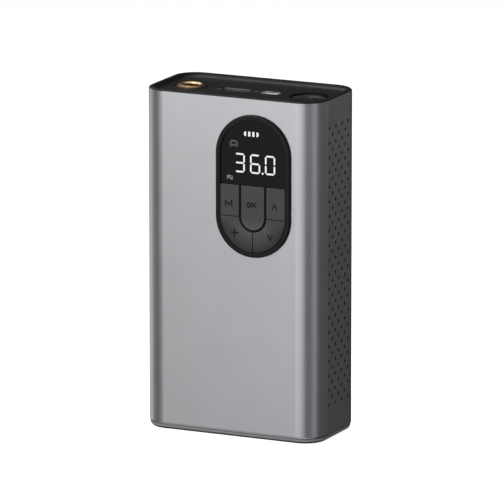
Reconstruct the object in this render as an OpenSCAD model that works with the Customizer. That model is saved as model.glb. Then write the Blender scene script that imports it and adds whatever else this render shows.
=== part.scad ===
// Handheld tyre inflator: a metal sleeve closed by two plastic caps, with a piston pump,
// its motor, two battery cells and the boards on a chassis inside.
// Frame: origin at the middle of the standing face, +Z up, front face towards -Y.

/* [Body] */
// Width of the metal sleeve, left to right
body_w = 84; // [80:0.5:96]
// Depth of the metal sleeve, front to back
body_d = 43.5; // [43:0.5:52]
// Height from the standing face to the rim of the top cap
body_h = 150; // [149:1:180]
// Outer radius of the sleeve's upright corners
corner_r = 10.5; // [8:0.5:12]
// Wall thickness of the metal sleeve
wall = 1.6; // [1.2:0.1:1.8]
// Rounding of the sleeve's lower edge
edge_r = 1; // [0.4:0.1:1.1]

/* [Side vents] */
// Diameter of one vent hole
vent_d = 1.6; // [1:0.1:2]
// Distance between neighbouring rows, and between neighbouring columns
vent_pitch = 3.2; // [2.8:0.1:4]
// Number of columns, counting both staggered sets
vent_columns = 7; // [3:2:7]
// Distance from the rim down to the first row
vent_top = 12.7; // [12:0.1:20]
// Distance from the standing face up to the lowest row
vent_bottom = 15.3; // [14:0.1:30]

/* [Top cap] */
// Thickness of the cap's flange over the end of the sleeve
rim_t = 0.55; // [0.4:0.05:1]
// How far the flange stays inside the sleeve's outline
rim_inset = 0.3; // [0.1:0.05:0.5]
// Depth of the deck below the rim
deck_drop = 1.8; // [1.4:0.1:2.5]
// Horizontal run of the cove between the rim and the deck
cove_run = 2.6; // [1.8:0.1:3.2]
// Thickness of the deck
deck_t = 1.8; // [1.4:0.1:2.4]
// Depth of both caps' skirts inside the sleeve
skirt_h = 7; // [4:0.5:7.5]
// Wall thickness of both caps' skirts
skirt_t = 1.2; // [0.9:0.1:1.4]

/* [Base cap] */
// Height of the base cap below the sleeve
foot_h = 2; // [1.5:0.1:3]
// How far the standing face stays inside the sleeve's outline
foot_inset = 3.3; // [2:0.1:4]
// Thickness of the base cap's floor above the sleeve's lower end
floor_t = 1; // [0.8:0.1:2]

/* [Ports] */
// Air outlet: distance of its axis from the left side
outlet_inset = 13.7; // [13.4:0.1:14.5]
// Air outlet: radius of the threaded hole
outlet_bore_r = 3.6; // [3:0.1:4]
// Air outlet: depth of the threaded hole
outlet_bore_depth = 10; // [8:0.5:12]
// Air outlet: diameter of the bright collar
collar_d = 9.8; // [9:0.1:11]
// Air outlet: diameter of the flange
outlet_flange_d = 14.8; // [14:0.1:15.6]
// Air outlet: diameter of the shank through the deck
outlet_shank_d = 11.6; // [10.5:0.1:12]
// USB-A socket: place of its middle, left to right
usb_a_x = -7.7; // [-9:0.1:-7]
// USB-C socket: place of its middle, left to right
usb_c_x = 9.5; // [9:0.1:11]
// Status light: place of its axis, left to right
status_x = 2.9; // [2.5:0.1:3.5]
// Status light: diameter of the light pipe
status_d = 1.8; // [1.2:0.1:2]
// Lamp: distance of its axis from the right side
lamp_inset = 14.2; // [13.8:0.1:15]
// Lamp: diameter of the round opening
lamp_d = 17; // [14:0.5:17.5]

/* [Control panel] */
// Width of the pill-shaped bezel
panel_w = 35.2; // [34:0.2:36]
// Height of the pill-shaped bezel
panel_h = 62.4; // [60:0.2:66]
// Place of the panel's middle line, left to right
panel_x = 11.8; // [-8:0.2:12]
// Distance from the rim of the body to the top of the bezel
panel_drop = 7.25; // [6:0.25:12]
// Width of the bezel's ring
bezel_ring = 2.15; // [1.8:0.05:2.4]
// How far the bezel stands out of the sleeve
bezel_proud = 1.3; // [1:0.05:1.8]
// How far the keys stand out of the sleeve
key_proud = 1.2; // [0.9:0.05:1.6]
// How far the lens stands out of the sleeve
lens_proud = 0.5; // [0.2:0.05:0.8]
// Thickness of the lens
lens_t = 1.2; // [1:0.1:1.5]
// Height of the straight key bank above the centre of the lower arc
key_bank_h = 13.8; // [12:0.1:15]
// Width of the OK key
ok_w = 10.9; // [9:0.1:12]
// Gap between the OK key and the keys round it
ok_gap = 1; // [0.9:0.05:1.4]
// Groove between neighbouring outer keys
key_groove = 0.25; // [0.25:0.05:0.6]
// Travel of each key
key_travel = 0.5; // [0.3:0.05:0.6]
// Rounding of the keys' upper edges
key_round = 0.25; // [0.2:0.05:0.6]

/* [Motor] */
// Diameter of the motor can
motor_d = 27.7; // [24:0.1:28.5]
// Length of the motor can
motor_l = 38; // [30:1:39]
// Thickness of the motor can
can_t = 1.2; // [0.8:0.1:1.6]
// Diameter of the motor shaft
shaft_d = 3.17; // [2.3:0.01:3.2]
// Thickness of the magnets
magnet_t = 2.6; // [2:0.1:3.2]

/* [Gears] */
// Module of both gears
gear_m = 0.6; // [0.5:0.05:0.6]
// Teeth of the motor pinion
pinion_teeth = 12; // [11:1:14]
// Teeth of the crank gear
crank_teeth = 54; // [48:1:54]
// Face width of the crank gear
gear_t = 4.8; // [3:0.2:5]

/* [Pump] */
// Bore of the cylinder
bore_d = 16; // [13:0.5:16]
// Wall of the cylinder
cyl_wall = 1.3; // [1:0.1:1.4]
// Stroke of the piston
stroke = 12; // [8:1:12]
// Length of the cylinder above the frame's shelf
cyl_h = 22; // [21:0.5:24]
// Width of the square cooling fins and of the head
fin_w = 23; // [22.4:0.2:23]
// Thickness of one fin
fin_t = 1; // [0.8:0.1:1.4]
// Number of fins
fins = 5; // [3:1:6]
// Thickness of the pump frame's gear plate
plate_t = 4; // [3:0.5:4]
// Thickness of the pump frame's shelf
shelf_t = 4.4; // [3:0.2:6]
// Outer diameter of the crank bearing
bearing_d = 13; // [11:0.5:14]
// Diameter of the crank shaft
crank_shaft_d = 5; // [4:0.5:6]
// Inner diameter of the air hose
hose_bore = 4.6; // [3.6:0.1:5]
// Outer diameter of the air hose
hose_d = 7.4; // [6.6:0.1:8]

/* [Battery] */
// Diameter of a battery cell
cell_d = 18.4; // [18:0.1:18.6]
// Length of a battery cell
cell_l = 65; // [60:1:66]

/* [Hidden] */
$fn = 64;

// Clearances: a loose fit, a close fit, a running fit on a radius, and an overshoot for cuts
loose = 0.2;
close = 0.05;
running = 0.05;
over = 1;

// How far a plate reaches into the swept rim that it is moulded with
lap = 0.5;

// ---- Sleeve and caps ------------------------------------------------------------------------

in_w = body_w - 2 * wall;
in_d = body_d - 2 * wall;
in_r = corner_r - wall;
sleeve_top = body_h - rim_t;
deck_z = body_h - deck_drop;
deck_under = deck_z - deck_t;
floor_z = foot_h + floor_t;
crest_w = 1.6;
rim_bevel = 0.35;
cove_steps = 6;
skirt_r = in_r - loose / 2;

// Rounded rectangle, centred
module rounded_rect(w, d, r) {
    square([w - 2 * r, d], center = true);
    square([w, d - 2 * r], center = true);
    for (x = [-1, 1], y = [-1, 1])
        translate([x * (w / 2 - r), y * (d / 2 - r)]) circle(r);
}

// Outline of the sleeve drawn in by an inset
module body_outline(inset) {
    rounded_rect(body_w - 2 * inset, body_d - 2 * inset, corner_r - inset);
}

// Carries a profile, drawn in distance from the corner's axis and height, round the body
module round_body() {
    cx = body_w / 2 - corner_r;
    cy = body_d / 2 - corner_r;
    for (i = [0:3]) {
        along = i % 2 == 0;
        rotate(90 * i) translate([along ? cx : cy, along ? cy : cx, 0]) {
            rotate_extrude(angle = 90) children();
            rotate([90, 0, 0]) linear_extrude(2 * (along ? cy : cx)) children();
        }
    }
}

// Bar profile from x0 to x1 with its two upper corners rounded
module crown(x0, x1, h, left_r, right_r) {
    difference() {
        translate([x0, 0]) square([x1 - x0, h]);
        if (left_r > 0) translate([x0, h - left_r]) difference() {
            translate([-over, 0]) square([left_r + over, left_r + over]);
            translate([left_r, 0]) circle(left_r);
        }
        if (right_r > 0) translate([x1 - right_r, h - right_r]) difference() {
            square([right_r + over, right_r + over]);
            circle(right_r);
        }
    }
}

// Vent positions as [y, z]: every second row is shifted by one column
vent_rows = floor((body_h - vent_top - vent_bottom) / vent_pitch) + 1;
half_columns = (vent_columns - 1) / 2;
function vents() = [
    for (row = [0:vent_rows - 1], column = [-half_columns:half_columns])
        if ((row + column + half_columns) % 2 == 0)
            [column * vent_pitch, body_h - vent_top - row * vent_pitch]
];

module housing_sleeve() {
    color("#a9a9ac") difference() {
        translate([0, 0, foot_h]) round_body() translate([in_r, 0]) {
            translate([0, edge_r]) square([wall, sleeve_top - foot_h - edge_r]);
            intersection() {
                translate([wall - edge_r, edge_r]) circle(edge_r);
                translate([wall - edge_r, 0]) square(edge_r);
            }
            square([wall - edge_r, edge_r]);
        }
        for (hole = vents())
            translate([0, hole[0], hole[1]]) rotate([0, 90, 0])
                cylinder(d = vent_d, h = body_w + over, center = true, $fn = 24);
        on_panel() translate([0, 0, -wall - over]) linear_extrude(wall + 2 * over) pill(cutout_r);
    }
}

module top_cap() {
    flange_x = corner_r - rim_inset;
    cove_x = flange_x - crest_w - cove_run;
    cove_r = (pow(cove_run, 2) + pow(deck_drop, 2)) / (2 * deck_drop);
    cove_sweep = acos(1 - deck_drop / cove_r);
    deck_band = 2;
    color("#2b2b2d") difference() {
        union() {
            round_body() polygon(concat(
                [[cove_x - deck_band, deck_under], [skirt_r - skirt_t, deck_under],
                    [skirt_r - skirt_t, deck_under - skirt_h], [skirt_r, deck_under - skirt_h],
                    [skirt_r, sleeve_top], [flange_x, sleeve_top], [flange_x, body_h - rim_bevel],
                    [flange_x - rim_bevel, body_h]],
                [for (i = [cove_steps:-1:0]) let (a = cove_sweep * i / cove_steps)
                    [cove_x + cove_r * sin(a), deck_z + cove_r * (1 - cos(a))]],
                [[cove_x - deck_band, deck_z]]
            ));
            translate([0, 0, deck_under]) linear_extrude(deck_t)
                body_outline(corner_r - cove_x + deck_band - lap);
            translate([lamp_x, 0, lamp_foot])
                cylinder(d = lamp_d + 2 * lamp_tube_t, h = deck_under - lamp_foot);
            for (x = cap_screw_x) translate([x, cap_screw_y, tab_top])
                cylinder(d = cap_boss_d, h = deck_under - tab_top);
        }
        translate([outlet_x, 0, deck_under - over])
            cylinder(d = outlet_shank_d + 2 * close, h = deck_t + 2 * over);
        translate([outlet_x, 0, deck_z - outlet_seat]) cylinder(d = outlet_flange_d + 2 * loose, h = over);
        translate([usb_a_x, 0, deck_z - port_recess]) linear_extrude(over)
            stadium(usb_a_w + 2 * recess_side, usb_a_h + 2 * recess_end);
        translate([usb_a_x, 0, deck_z])
            cube([usb_a_w + 2 * loose, usb_a_h + 2 * loose, 4 * deck_t], center = true);
        translate([usb_c_x, 0, deck_under - over]) linear_extrude(deck_t + 2 * over)
            stadium(usb_c_w + 2 * loose, usb_c_h + 2 * loose);
        translate([status_x, 0, deck_under - over]) cylinder(d = status_d + 2 * close, h = deck_t + 2 * over);
        translate([lamp_x, 0, lamp_seat]) cylinder(d = lamp_d, h = deck_drop + 2 * lamp_sink);
        translate([lamp_x, 0, lamp_foot - over]) cylinder(d = lamp_d - 2 * lamp_ledge, h = deck_z);
        translate([lamp_x, 0, lamp_foot - over])
            cylinder(d = lamp_d - 2 * lamp_board_gap, h = over + lamp_cup_h);
        for (x = cap_screw_x) translate([x, cap_screw_y, tab_top - over])
            cylinder(d = screw_d + 2 * close, h = over + cap_screw_l);
        on_panel() translate([0, 0, -wall - skirt_t - over]) linear_extrude(skirt_t + 2 * over)
            pill(neck_r + hook_out + loose);
    }
}

module base_cap() {
    foot_run = foot_inset - rim_inset;
    foot_r = (pow(foot_run, 2) + pow(foot_h, 2)) / (2 * foot_run);
    foot_x = corner_r - rim_inset - foot_r;
    foot_sweep = asin(foot_h / foot_r);
    foot_band = 4;
    foot_steps = 5;
    color("#2a2a2c") difference() {
        union() {
            round_body() polygon(concat(
                [for (i = [0:foot_steps]) let (a = -foot_sweep + foot_sweep * i / foot_steps)
                    [foot_x + foot_r * cos(a), foot_h + foot_r * sin(a)]],
                [[skirt_r, foot_h], [skirt_r, floor_z + skirt_h], [skirt_r - skirt_t, floor_z + skirt_h],
                    [skirt_r - skirt_t, floor_z], [foot_x - foot_band, floor_z], [foot_x - foot_band, 0]]
            ));
            linear_extrude(floor_z) body_outline(corner_r - foot_x + foot_band - lap);
        }
        for (p = base_screw_places()) translate([p[0], p[1], 0]) {
            translate([0, 0, -over]) cylinder(d = screw_d + 2 * loose, h = floor_z + 2 * over);
            translate([0, 0, -over]) cylinder(d = head_d + 2 * loose, h = over + head_h + head_sink);
        }
    }
}

// ---- Screws ---------------------------------------------------------------------------------

screw_d = 2.5;
head_d = 4.4;
head_h = 1.2;
head_sink = 0.3;
base_screw_l = 10;
cap_screw_l = 7;
cap_boss_d = 5.6;
base_boss_d = 6;
base_screw_side = 8;
base_screw_end = 7;

// Cross-headed screw: the head's seat is at z = 0 and the shank points up
module screw(shank_d, shank_l, cap_d, cap_h) {
    difference() {
        union() {
            cylinder(d = shank_d, h = shank_l);
            translate([0, 0, -cap_h]) cylinder(d = cap_d, h = cap_h);
        }
        for (turn = [0, 90]) rotate(turn)
            translate([0, 0, -cap_h]) cube([cap_d * 0.6, cap_d * 0.16, cap_h], center = true);
    }
}

function base_screw_places() = [
    for (x = [-1, 1], y = [-1, 1]) [x * (in_w / 2 - base_screw_side), y * (in_d / 2 - base_screw_end)]
];

module base_screws() {
    color("#8d8f92") for (p = base_screw_places())
        translate([p[0], p[1], head_h + head_sink]) screw(screw_d, base_screw_l, head_d, head_h);
}

// ---- Chassis --------------------------------------------------------------------------------

chassis_t = 1.5;
chassis_gap = 0.4;
chassis_inset = corner_r - skirt_r + skirt_t + chassis_gap;
chassis_top = floor_z + 2;
rear_y = body_d / 2 - chassis_inset;
tab_t = 1.8;
tab_top = deck_under - skirt_h - 4;
tab_run = 6.5;
cap_screw_y = rear_y - chassis_t - tab_run / 2;
cap_screw_x = [usb_a_x - 11, usb_c_x + 3];
saddle_t = 3;
saddle_web = 4;
pad_t = 1.15;
motor_z = chassis_top + saddle_web + pad_t + motor_d / 2;

module chassis() {
    saddle_w = motor_d + 2 * pad_t + 3;
    color("#3a3b3e") difference() {
        union() {
            translate([0, 0, floor_z]) linear_extrude(chassis_top - floor_z) body_outline(chassis_inset);
            translate([-body_w / 2 + corner_r, rear_y - chassis_t, floor_z])
                cube([body_w - 2 * corner_r, chassis_t, tab_top - floor_z]);
            for (p = base_screw_places()) translate([p[0], p[1], floor_z])
                cylinder(d = base_boss_d, h = base_screw_l + 2);
            for (x = saddle_places) translate([x, -saddle_w / 2, chassis_top])
                cube([saddle_t, saddle_w, motor_z - chassis_top - 2]);
            for (x = cap_screw_x) translate([x - 4, rear_y - chassis_t - tab_run, tab_top - tab_t])
                cube([8, tab_run + chassis_t, tab_t]);
            for (z = holder_rail_z) translate([spine_x0, rear_y - chassis_t - holder_gap, z])
                cube([spine_w, holder_gap + close, 4]);
            for (x = [main_x0 + 1, main_x1 - 3]) translate([x, -board_face, main_top - main_h + 1])
                cube([2, rear_y - chassis_t + board_face + close, 4]);
        }
        for (x = saddle_places) translate([x - over, 0, motor_z]) rotate([0, 90, 0])
            cylinder(d = motor_d + 2 * pad_t, h = saddle_t + 2 * over);
        for (p = base_screw_places()) translate([p[0], p[1], floor_z - over])
            cylinder(d = screw_d + 2 * close, h = over + base_screw_l);
        for (x = cap_screw_x) translate([x, cap_screw_y, tab_top - tab_t - over])
            cylinder(d = screw_d + 2 * loose, h = tab_t + 2 * over);
        for (y = pump_screw_y) translate([pump_screw_x, y, floor_z + close])
            cylinder(d = screw_d + 2 * close, h = 4);
    }
}

module cap_screws() {
    color("#8d8f92") for (x = cap_screw_x)
        translate([x, cap_screw_y, tab_top - tab_t]) screw(screw_d, cap_screw_l, head_d, head_h);
}

// Thin woven screens stuck to the inside of the sleeve behind the vents
module dust_screens() {
    screen_t = 0.4;
    screen_rim = 0.3;
    screen_w = in_d - 2 * in_r - 2 * screen_rim;
    low = floor_z + skirt_h + chassis_gap;
    high = deck_under - skirt_h - chassis_gap;
    color("#161617") for (side = [-1, 1])
        translate([side * (in_w / 2 - close - screen_t / 2), 0, (low + high) / 2])
            cube([screen_t, screen_w, high - low], center = true);
}

// ---- Control panel --------------------------------------------------------------------------

panel_r = panel_w / 2;
panel_s = panel_h - panel_w;
panel_arc_z = body_h - panel_drop - panel_h + panel_r;
well_r = panel_r - bezel_ring;
neck_r = well_r + 1;
cutout_r = neck_r + 2 * close;
hook_out = 0.55;
hook_h = 0.9;
shelf_z = lens_proud - lens_t;
shelf_back = shelf_z - 1;
window_r = well_r - 2.85;
window_y = key_bank_h + 1.8;
lens_foot = key_bank_h + key_groove;
key_r = well_r - loose;
ok_r = ok_w / 2;
key_inner_r = ok_r + ok_gap;
key_back = shelf_z + key_travel + 0.1;
switch_h = 3.5;
plunger_h = 0.8;
stem_end = shelf_back - 0.6;
board_z = stem_end - key_travel - 0.1 - plunger_h - switch_h;
board_t = 1.6;
board_r = well_r - 0.5;
key_mid = (key_inner_r + key_r) / 2;
key_mid_y = key_bank_h / 2;

// Places on the sleeve's front: x to the right, y up from the lower arc's centre, z out of the face
module on_panel() {
    translate([panel_x, -body_d / 2, panel_arc_z]) rotate([90, 0, 0]) children();
}

// Upright pill
module pill(r) {
    circle(r);
    translate([0, panel_s]) circle(r);
    translate([-r, 0]) square([2 * r, panel_s]);
}

// Lying pill
module stadium(w, h) {
    for (side = [-1, 1]) translate([side * (w - h) / 2, 0]) circle(h / 2);
    square([w - h, h], center = true);
}

// Carries a profile, drawn in radius and height, round the pill
module round_pill() {
    translate([0, panel_s, 0]) rotate_extrude(angle = 180) children();
    rotate(180) rotate_extrude(angle = 180) children();
    for (side = [0, 1]) mirror([side, 0, 0])
        translate([0, panel_s, 0]) rotate([90, 0, 0]) linear_extrude(panel_s) children();
}

// The pill above the keys, where the lens and the window lie
module pill_top(r, foot) {
    intersection() {
        pill(r);
        translate([-panel_w, foot]) square([2 * panel_w, panel_h]);
    }
}

// U-shaped band round the OK key
module u_band(r0, r1, top) {
    difference() {
        union() {
            circle(r1);
            translate([-r1, 0]) square([2 * r1, top]);
        }
        circle(r0);
        translate([-r0, 0]) square([2 * r0, top + over]);
    }
}

// Middle of each key, where its stem and its switch are: mode, plus, OK, up, down
mode_at = [-key_mid, key_mid_y];
plus_at = [-key_mid * sqrt(0.5), -key_mid * sqrt(0.5)];
ok_at = [0, key_mid_y - ok_r / 2];
up_at = [key_mid, key_mid_y];
down_at = [key_mid * sqrt(0.5), -key_mid * sqrt(0.5)];
key_places = [mode_at, plus_at, ok_at, up_at, down_at];
post_places = [
    for (side = [-1, 1], y = [-1, key_bank_h - 0.6]) [side * (board_r - 2.4), y]
];
stem_w = 3;
stem_d = 2;
post_d = 3.6;
panel_screw_d = 1.8;

module panel_bezel() {
    rib_z = key_proud - 0.65;
    color("#1d1d1f") on_panel() {
        round_pill() {
            crown(well_r, panel_r, bezel_proud, 0.25, 0.7);
            translate([well_r, shelf_back]) square([neck_r - well_r, -shelf_back]);
            translate([well_r, -wall - hook_h - 2 * close])
                square([neck_r - well_r, wall + hook_h + 2 * close + shelf_back]);
        }
        for (end = [[panel_s, 70], [0, 250]]) translate([0, end[0], -wall - hook_h - close])
            rotate(end[1]) rotate_extrude(angle = 40) translate([well_r, 0])
                crown(0, neck_r + hook_out - well_r, hook_h, 0, hook_out / 2);
        difference() {
            translate([0, 0, shelf_back]) linear_extrude(shelf_z - shelf_back) pill(well_r);
            translate([0, 0, shelf_back - over]) linear_extrude(4 * over) pill_top(window_r, window_y);
            for (p = key_places) translate([p[0], p[1], shelf_back])
                cube([stem_w + 2 * loose, stem_d + 2 * loose, 4 * over], center = true);
        }
        translate([0, 0, shelf_z]) linear_extrude(rib_z - shelf_z)
            u_band(ok_r + ok_gap / 4, key_inner_r - ok_gap / 4, key_bank_h);
        for (p = post_places) translate([p[0], p[1], board_z]) difference() {
            cylinder(d = post_d, h = shelf_back - board_z);
            translate([0, 0, -over]) cylinder(d = panel_screw_d + 2 * close, h = over + 3.5);
        }
    }
}

module display_lens() {
    color([0.13, 0.13, 0.14]) on_panel()
        translate([0, 0, shelf_z]) linear_extrude(lens_t) pill_top(well_r - close, lens_foot);
}

// Block of light cells behind the lens, soldered to the control board
module display_module() {
    color("#e9e9e6") on_panel() translate([0, 0, board_z])
        linear_extrude(shelf_z - 0.15 - board_z) pill_top(window_r - loose, window_y + loose);
}

// Block with its four upper edges rounded
module soft_block(x0, x1, y0, y1, z0, z1, r) {
    intersection() {
        translate([0, y1, z0]) rotate([90, 0, 0]) linear_extrude(y1 - y0) crown(x0, x1, z1 - z0, r, r);
        translate([x0, 0, z0]) rotate([90, 0, 90]) linear_extrude(x1 - x0) crown(y0, y1, z1 - z0, r, r);
    }
}

// Stem below a key, with a small tooth that catches behind the bezel's shelf
module key_stem(p) {
    tooth = 0.35;
    tooth_h = shelf_back - close - stem_end;
    translate([p[0], p[1], 0]) {
        translate([-stem_w / 2, -stem_d / 2, stem_end]) cube([stem_w, stem_d, key_back - stem_end + close]);
        translate([-stem_w / 2, -stem_d / 2 - tooth - loose, stem_end])
            cube([stem_w, tooth + loose + close, tooth_h]);
    }
}

// Upper outer key: side is -1 for the left key and 1 for the right one
module straight_key(side, place) {
    color("#48484a") on_panel() {
        mirror([side < 0 ? 1 : 0, 0, 0])
            soft_block(key_inner_r, key_r, key_groove / 2, key_bank_h, key_back, key_proud, key_round);
        key_stem(place);
    }
}

// Lower outer key, a quarter of a ring with softened ends
module quarter_key(side, place) {
    color("#48484a") on_panel() {
        mirror([side < 0 ? 1 : 0, 0, 0]) intersection() {
            translate([0, 0, key_back]) rotate(-90) rotate_extrude(angle = 90)
                crown(key_inner_r, key_r, key_proud - key_back, key_round, key_round);
            soft_block(key_groove / 2, key_r + over, -key_r - over, -key_groove / 2,
                key_back, key_proud, key_round);
        }
        key_stem(place);
    }
}

module mode_button() straight_key(-1, mode_at);

module up_button() straight_key(1, up_at);

module plus_button() quarter_key(-1, plus_at);

module down_button() quarter_key(1, down_at);

module ok_button() {
    color("#48484a") on_panel() {
        intersection() {
            translate([0, 0, key_back]) {
                rotate(180) rotate_extrude(angle = 180) crown(0, ok_r, key_proud - key_back, 0, key_round);
                translate([0, key_bank_h, 0]) rotate([90, 0, 0]) linear_extrude(key_bank_h)
                    crown(-ok_r, ok_r, key_proud - key_back, key_round, key_round);
            }
            soft_block(-ok_r - over, ok_r + over, -ok_r - over, key_bank_h, key_back, key_proud, key_round);
        }
        key_stem(ok_at);
    }
}

module key_switches() {
    color("#6d6d6f") on_panel() for (p = key_places) translate([p[0], p[1], board_z]) {
        translate([-3, -3, 0]) cube([6, 6, switch_h]);
        cylinder(d = 3.3, h = switch_h + plunger_h);
    }
}

module control_board() {
    color("#1f4a33") on_panel() translate([0, 0, board_z - board_t]) difference() {
        linear_extrude(board_t) pill(board_r);
        for (p = post_places) translate([p[0], p[1], -over])
            cylinder(d = panel_screw_d + 2 * loose, h = board_t + 2 * over);
    }
}

module panel_screws() {
    color("#8d8f92") on_panel() for (p = post_places)
        translate([p[0], p[1], board_z - board_t]) screw(panel_screw_d, board_t + 3, 3.4, 1);
}

// ---- Ports ----------------------------------------------------------------------------------

outlet_x = -body_w / 2 + outlet_inset;
lamp_x = body_w / 2 - lamp_inset;
outlet_seat = 0.6;
collar_z = deck_z + 0.9;
port_recess = 0.5;
recess_side = 1.5;
recess_end = 1;
o_ring_t = 1.5;
nut_h = 4;
barb_d = hose_bore - 2 * close;
barb_l = 9;
outlet_body_end = collar_z - outlet_bore_depth - 2;
usb_a_w = 13.1;
usb_a_h = 5.7;
usb_a_l = 14;
usb_c_w = 8.94;
usb_c_h = 3.26;
usb_c_l = 7.3;
shell_t = 0.3;
lamp_sink = 1.2;
lamp_seat = deck_z - lamp_sink;
lamp_ledge = 1.2;
lamp_foot = deck_under - 10;
lamp_cup_h = 8;
lamp_tube_t = 0.9;
lamp_board_gap = 0.3;

module air_outlet() {
    color("#b5894e") translate([outlet_x, 0, 0]) difference() {
        union() {
            translate([0, 0, deck_z - outlet_seat]) cylinder(d = outlet_flange_d, h = outlet_seat);
            translate([0, 0, deck_z]) cylinder(d1 = outlet_flange_d - 0.6, d2 = collar_d, h = 0.5);
            translate([0, 0, deck_z]) cylinder(d = collar_d, h = collar_z - deck_z);
            translate([0, 0, outlet_body_end]) cylinder(d = outlet_shank_d, h = deck_z - outlet_body_end);
            translate([0, 0, outlet_body_end - barb_l]) cylinder(d = barb_d, h = barb_l);
        }
        translate([0, 0, collar_z - outlet_bore_depth])
            cylinder(r = outlet_bore_r, h = outlet_bore_depth + over);
        translate([0, 0, collar_z - 0.5])
            cylinder(r1 = outlet_bore_r, r2 = outlet_bore_r + 0.5, h = 0.5 + close);
        translate([0, 0, outlet_body_end - barb_l - over])
            cylinder(d = barb_d - 1.6, h = barb_l + 3 * over + 2);
    }
}

// Nut that pulls the outlet's flange onto the deck
module outlet_nut() {
    color("#a98450") translate([outlet_x, 0, deck_under - o_ring_t - nut_h]) difference() {
        cylinder(d = outlet_shank_d + 4, h = nut_h, $fn = 6);
        translate([0, 0, -over]) cylinder(d = outlet_shank_d + 2 * close, h = nut_h + 2 * over);
    }
}

module outlet_o_ring() {
    color("#1a1a1a") translate([outlet_x, 0, deck_under - o_ring_t / 2])
        rotate_extrude() translate([outlet_shank_d / 2 + close + o_ring_t / 2, 0])
            circle(d = o_ring_t, $fn = 24);
}

// Folded steel shell of a socket, open at the deck and closed behind
module socket_shell(w, h, depth, round) {
    top = deck_z - port_recess - 0.1;
    translate([0, 0, top - depth]) difference() {
        linear_extrude(depth) rounded_rect(w, h, round);
        translate([0, 0, shell_t]) linear_extrude(depth)
            rounded_rect(w - 2 * shell_t, h - 2 * shell_t, round - shell_t);
    }
}

module usb_a_shell() {
    color("#b9bbbe") translate([usb_a_x, 0, 0]) socket_shell(usb_a_w, usb_a_h, usb_a_l, 0.6);
}

module usb_a_tongue() {
    base_z = deck_z - port_recess - 0.1 - usb_a_l + shell_t;
    color("#2f2f31") translate([usb_a_x, 0, base_z]) {
        linear_extrude(4)
            rounded_rect(usb_a_w - 2 * shell_t - 0.1, usb_a_h - 2 * shell_t - 0.1, 0.6 - shell_t);
        translate([-5.55, 0.4, 0]) cube([11.1, 1.84, usb_a_l - shell_t - 0.6]);
    }
}

module usb_c_shell() {
    leg_top = deck_z - port_recess - 2;
    color("#b9bbbe") translate([usb_c_x, 0, 0]) {
        socket_shell(usb_c_w, usb_c_h, usb_c_l, usb_c_h / 2 - close);
        for (side = [-1, 1]) translate([side * (usb_c_w / 2 - 2) - 0.3, -board_face, leg_top - 4])
            cube([0.6, board_face - usb_c_h / 2 + 0.1, 4]);
    }
}

module usb_c_tongue() {
    base_z = deck_z - port_recess - 0.1 - usb_c_l + shell_t;
    color("#222224") translate([usb_c_x, 0, base_z]) {
        linear_extrude(2.4) stadium(usb_c_w - 2 * shell_t - 0.2, usb_c_h - 2 * shell_t - 0.2);
        translate([-3.3, -0.35, 0]) cube([6.6, 0.7, usb_c_l - shell_t - 0.8]);
    }
}

// Clear rod that carries the light of a diode on the main board to the deck
module status_light_pipe() {
    foot = deck_under - 3;
    color([0.75, 0.75, 0.72]) translate([status_x, 0, 0]) {
        translate([0, 0, foot]) cylinder(d = status_d, h = deck_z + 0.1 - foot);
        translate([0, 0, foot]) cylinder(d = status_d + 1.4, h = deck_under - foot);
    }
}

module lamp_lens() {
    rise = 0.6;
    lens_r = lamp_d / 2 - 0.25;
    dome_r = (pow(lens_r, 2) + pow(rise, 2)) / (2 * rise);
    color([0.62, 0.6, 0.66, 0.7]) translate([lamp_x, 0, lamp_seat]) rotate_extrude() intersection() {
        translate([0, 0.5 + rise - dome_r]) circle(dome_r, $fn = 256);
        square([lens_r, 0.5 + rise]);
    }
}

module lamp_reflector() {
    cup_r = lamp_d / 2 - lamp_ledge - close;
    color("#c9c9cc") translate([lamp_x, 0, lamp_seat - 7.5]) rotate_extrude() polygon([
        [2.2, 0], [cup_r - 0.2, 7.4], [cup_r, 7.4], [cup_r, 6.4], [3.2, 0]
    ]);
}

module lamp_board() {
    color("#e8e8e4") translate([lamp_x, 0, lamp_seat - 7.5]) {
        translate([0, 0, -1.2]) cylinder(d = lamp_d - 2 * lamp_board_gap - 2 * close, h = 1.2);
        translate([-1.4, -1.4, 0]) cube([2.8, 2.8, 0.9]);
    }
}

// ---- Main board -----------------------------------------------------------------------------

board_face = usb_a_h / 2;
board_gap = 2.95;
main_t = 1.6;
main_top = deck_under - 1;
main_x0 = usb_a_x - 10;
main_x1 = usb_c_x + 8;

module main_board() {
    color("#1f4a33") translate([main_x0, -board_face - main_t, main_top - main_h])
        cube([main_x1 - main_x0, main_t, main_h]);
}

// Inductor, capacitors and the controller chip, on the front of the main board
module board_parts() {
    front = -board_face - main_t;
    row_y = -5.5;
    coil_w = 9;
    coil_h = 4;
    chip_w = 7;
    chip_h = 0.9;
    can_d = 6.3;
    can_h = 5.8;
    color("#47484c") translate([0, front, main_top]) rotate([90, 0, 0]) {
        translate([main_x0 + 6.5, row_y, coil_h / 2]) cube([coil_w, coil_w, coil_h], center = true);
        translate([main_x0 + 23, row_y, chip_h / 2]) cube([chip_w, chip_w, chip_h], center = true);
        for (x = [15.2, 30.8]) translate([main_x0 + x, row_y, 0]) cylinder(d = can_d, h = can_h);
    }
}

// Absolute pressure sensor with its nozzle, on the rear of the main board below the USB-C socket
module pressure_sensor() {
    sensor_w = 8;
    sensor_t = 2.6;
    nozzle_d = 2.4;
    nozzle_l = 1.6;
    sensor_z = main_top - main_h + 1 + sensor_w / 2;
    color("#2c2d31") translate([usb_c_x, -board_face, sensor_z]) rotate([-90, 0, 0]) {
        translate([-sensor_w / 2, -sensor_w / 2, 0]) cube([sensor_w, sensor_w, sensor_t]);
        translate([0, 0, sensor_t - close]) cylinder(d = nozzle_d, h = nozzle_l);
    }
}

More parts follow.
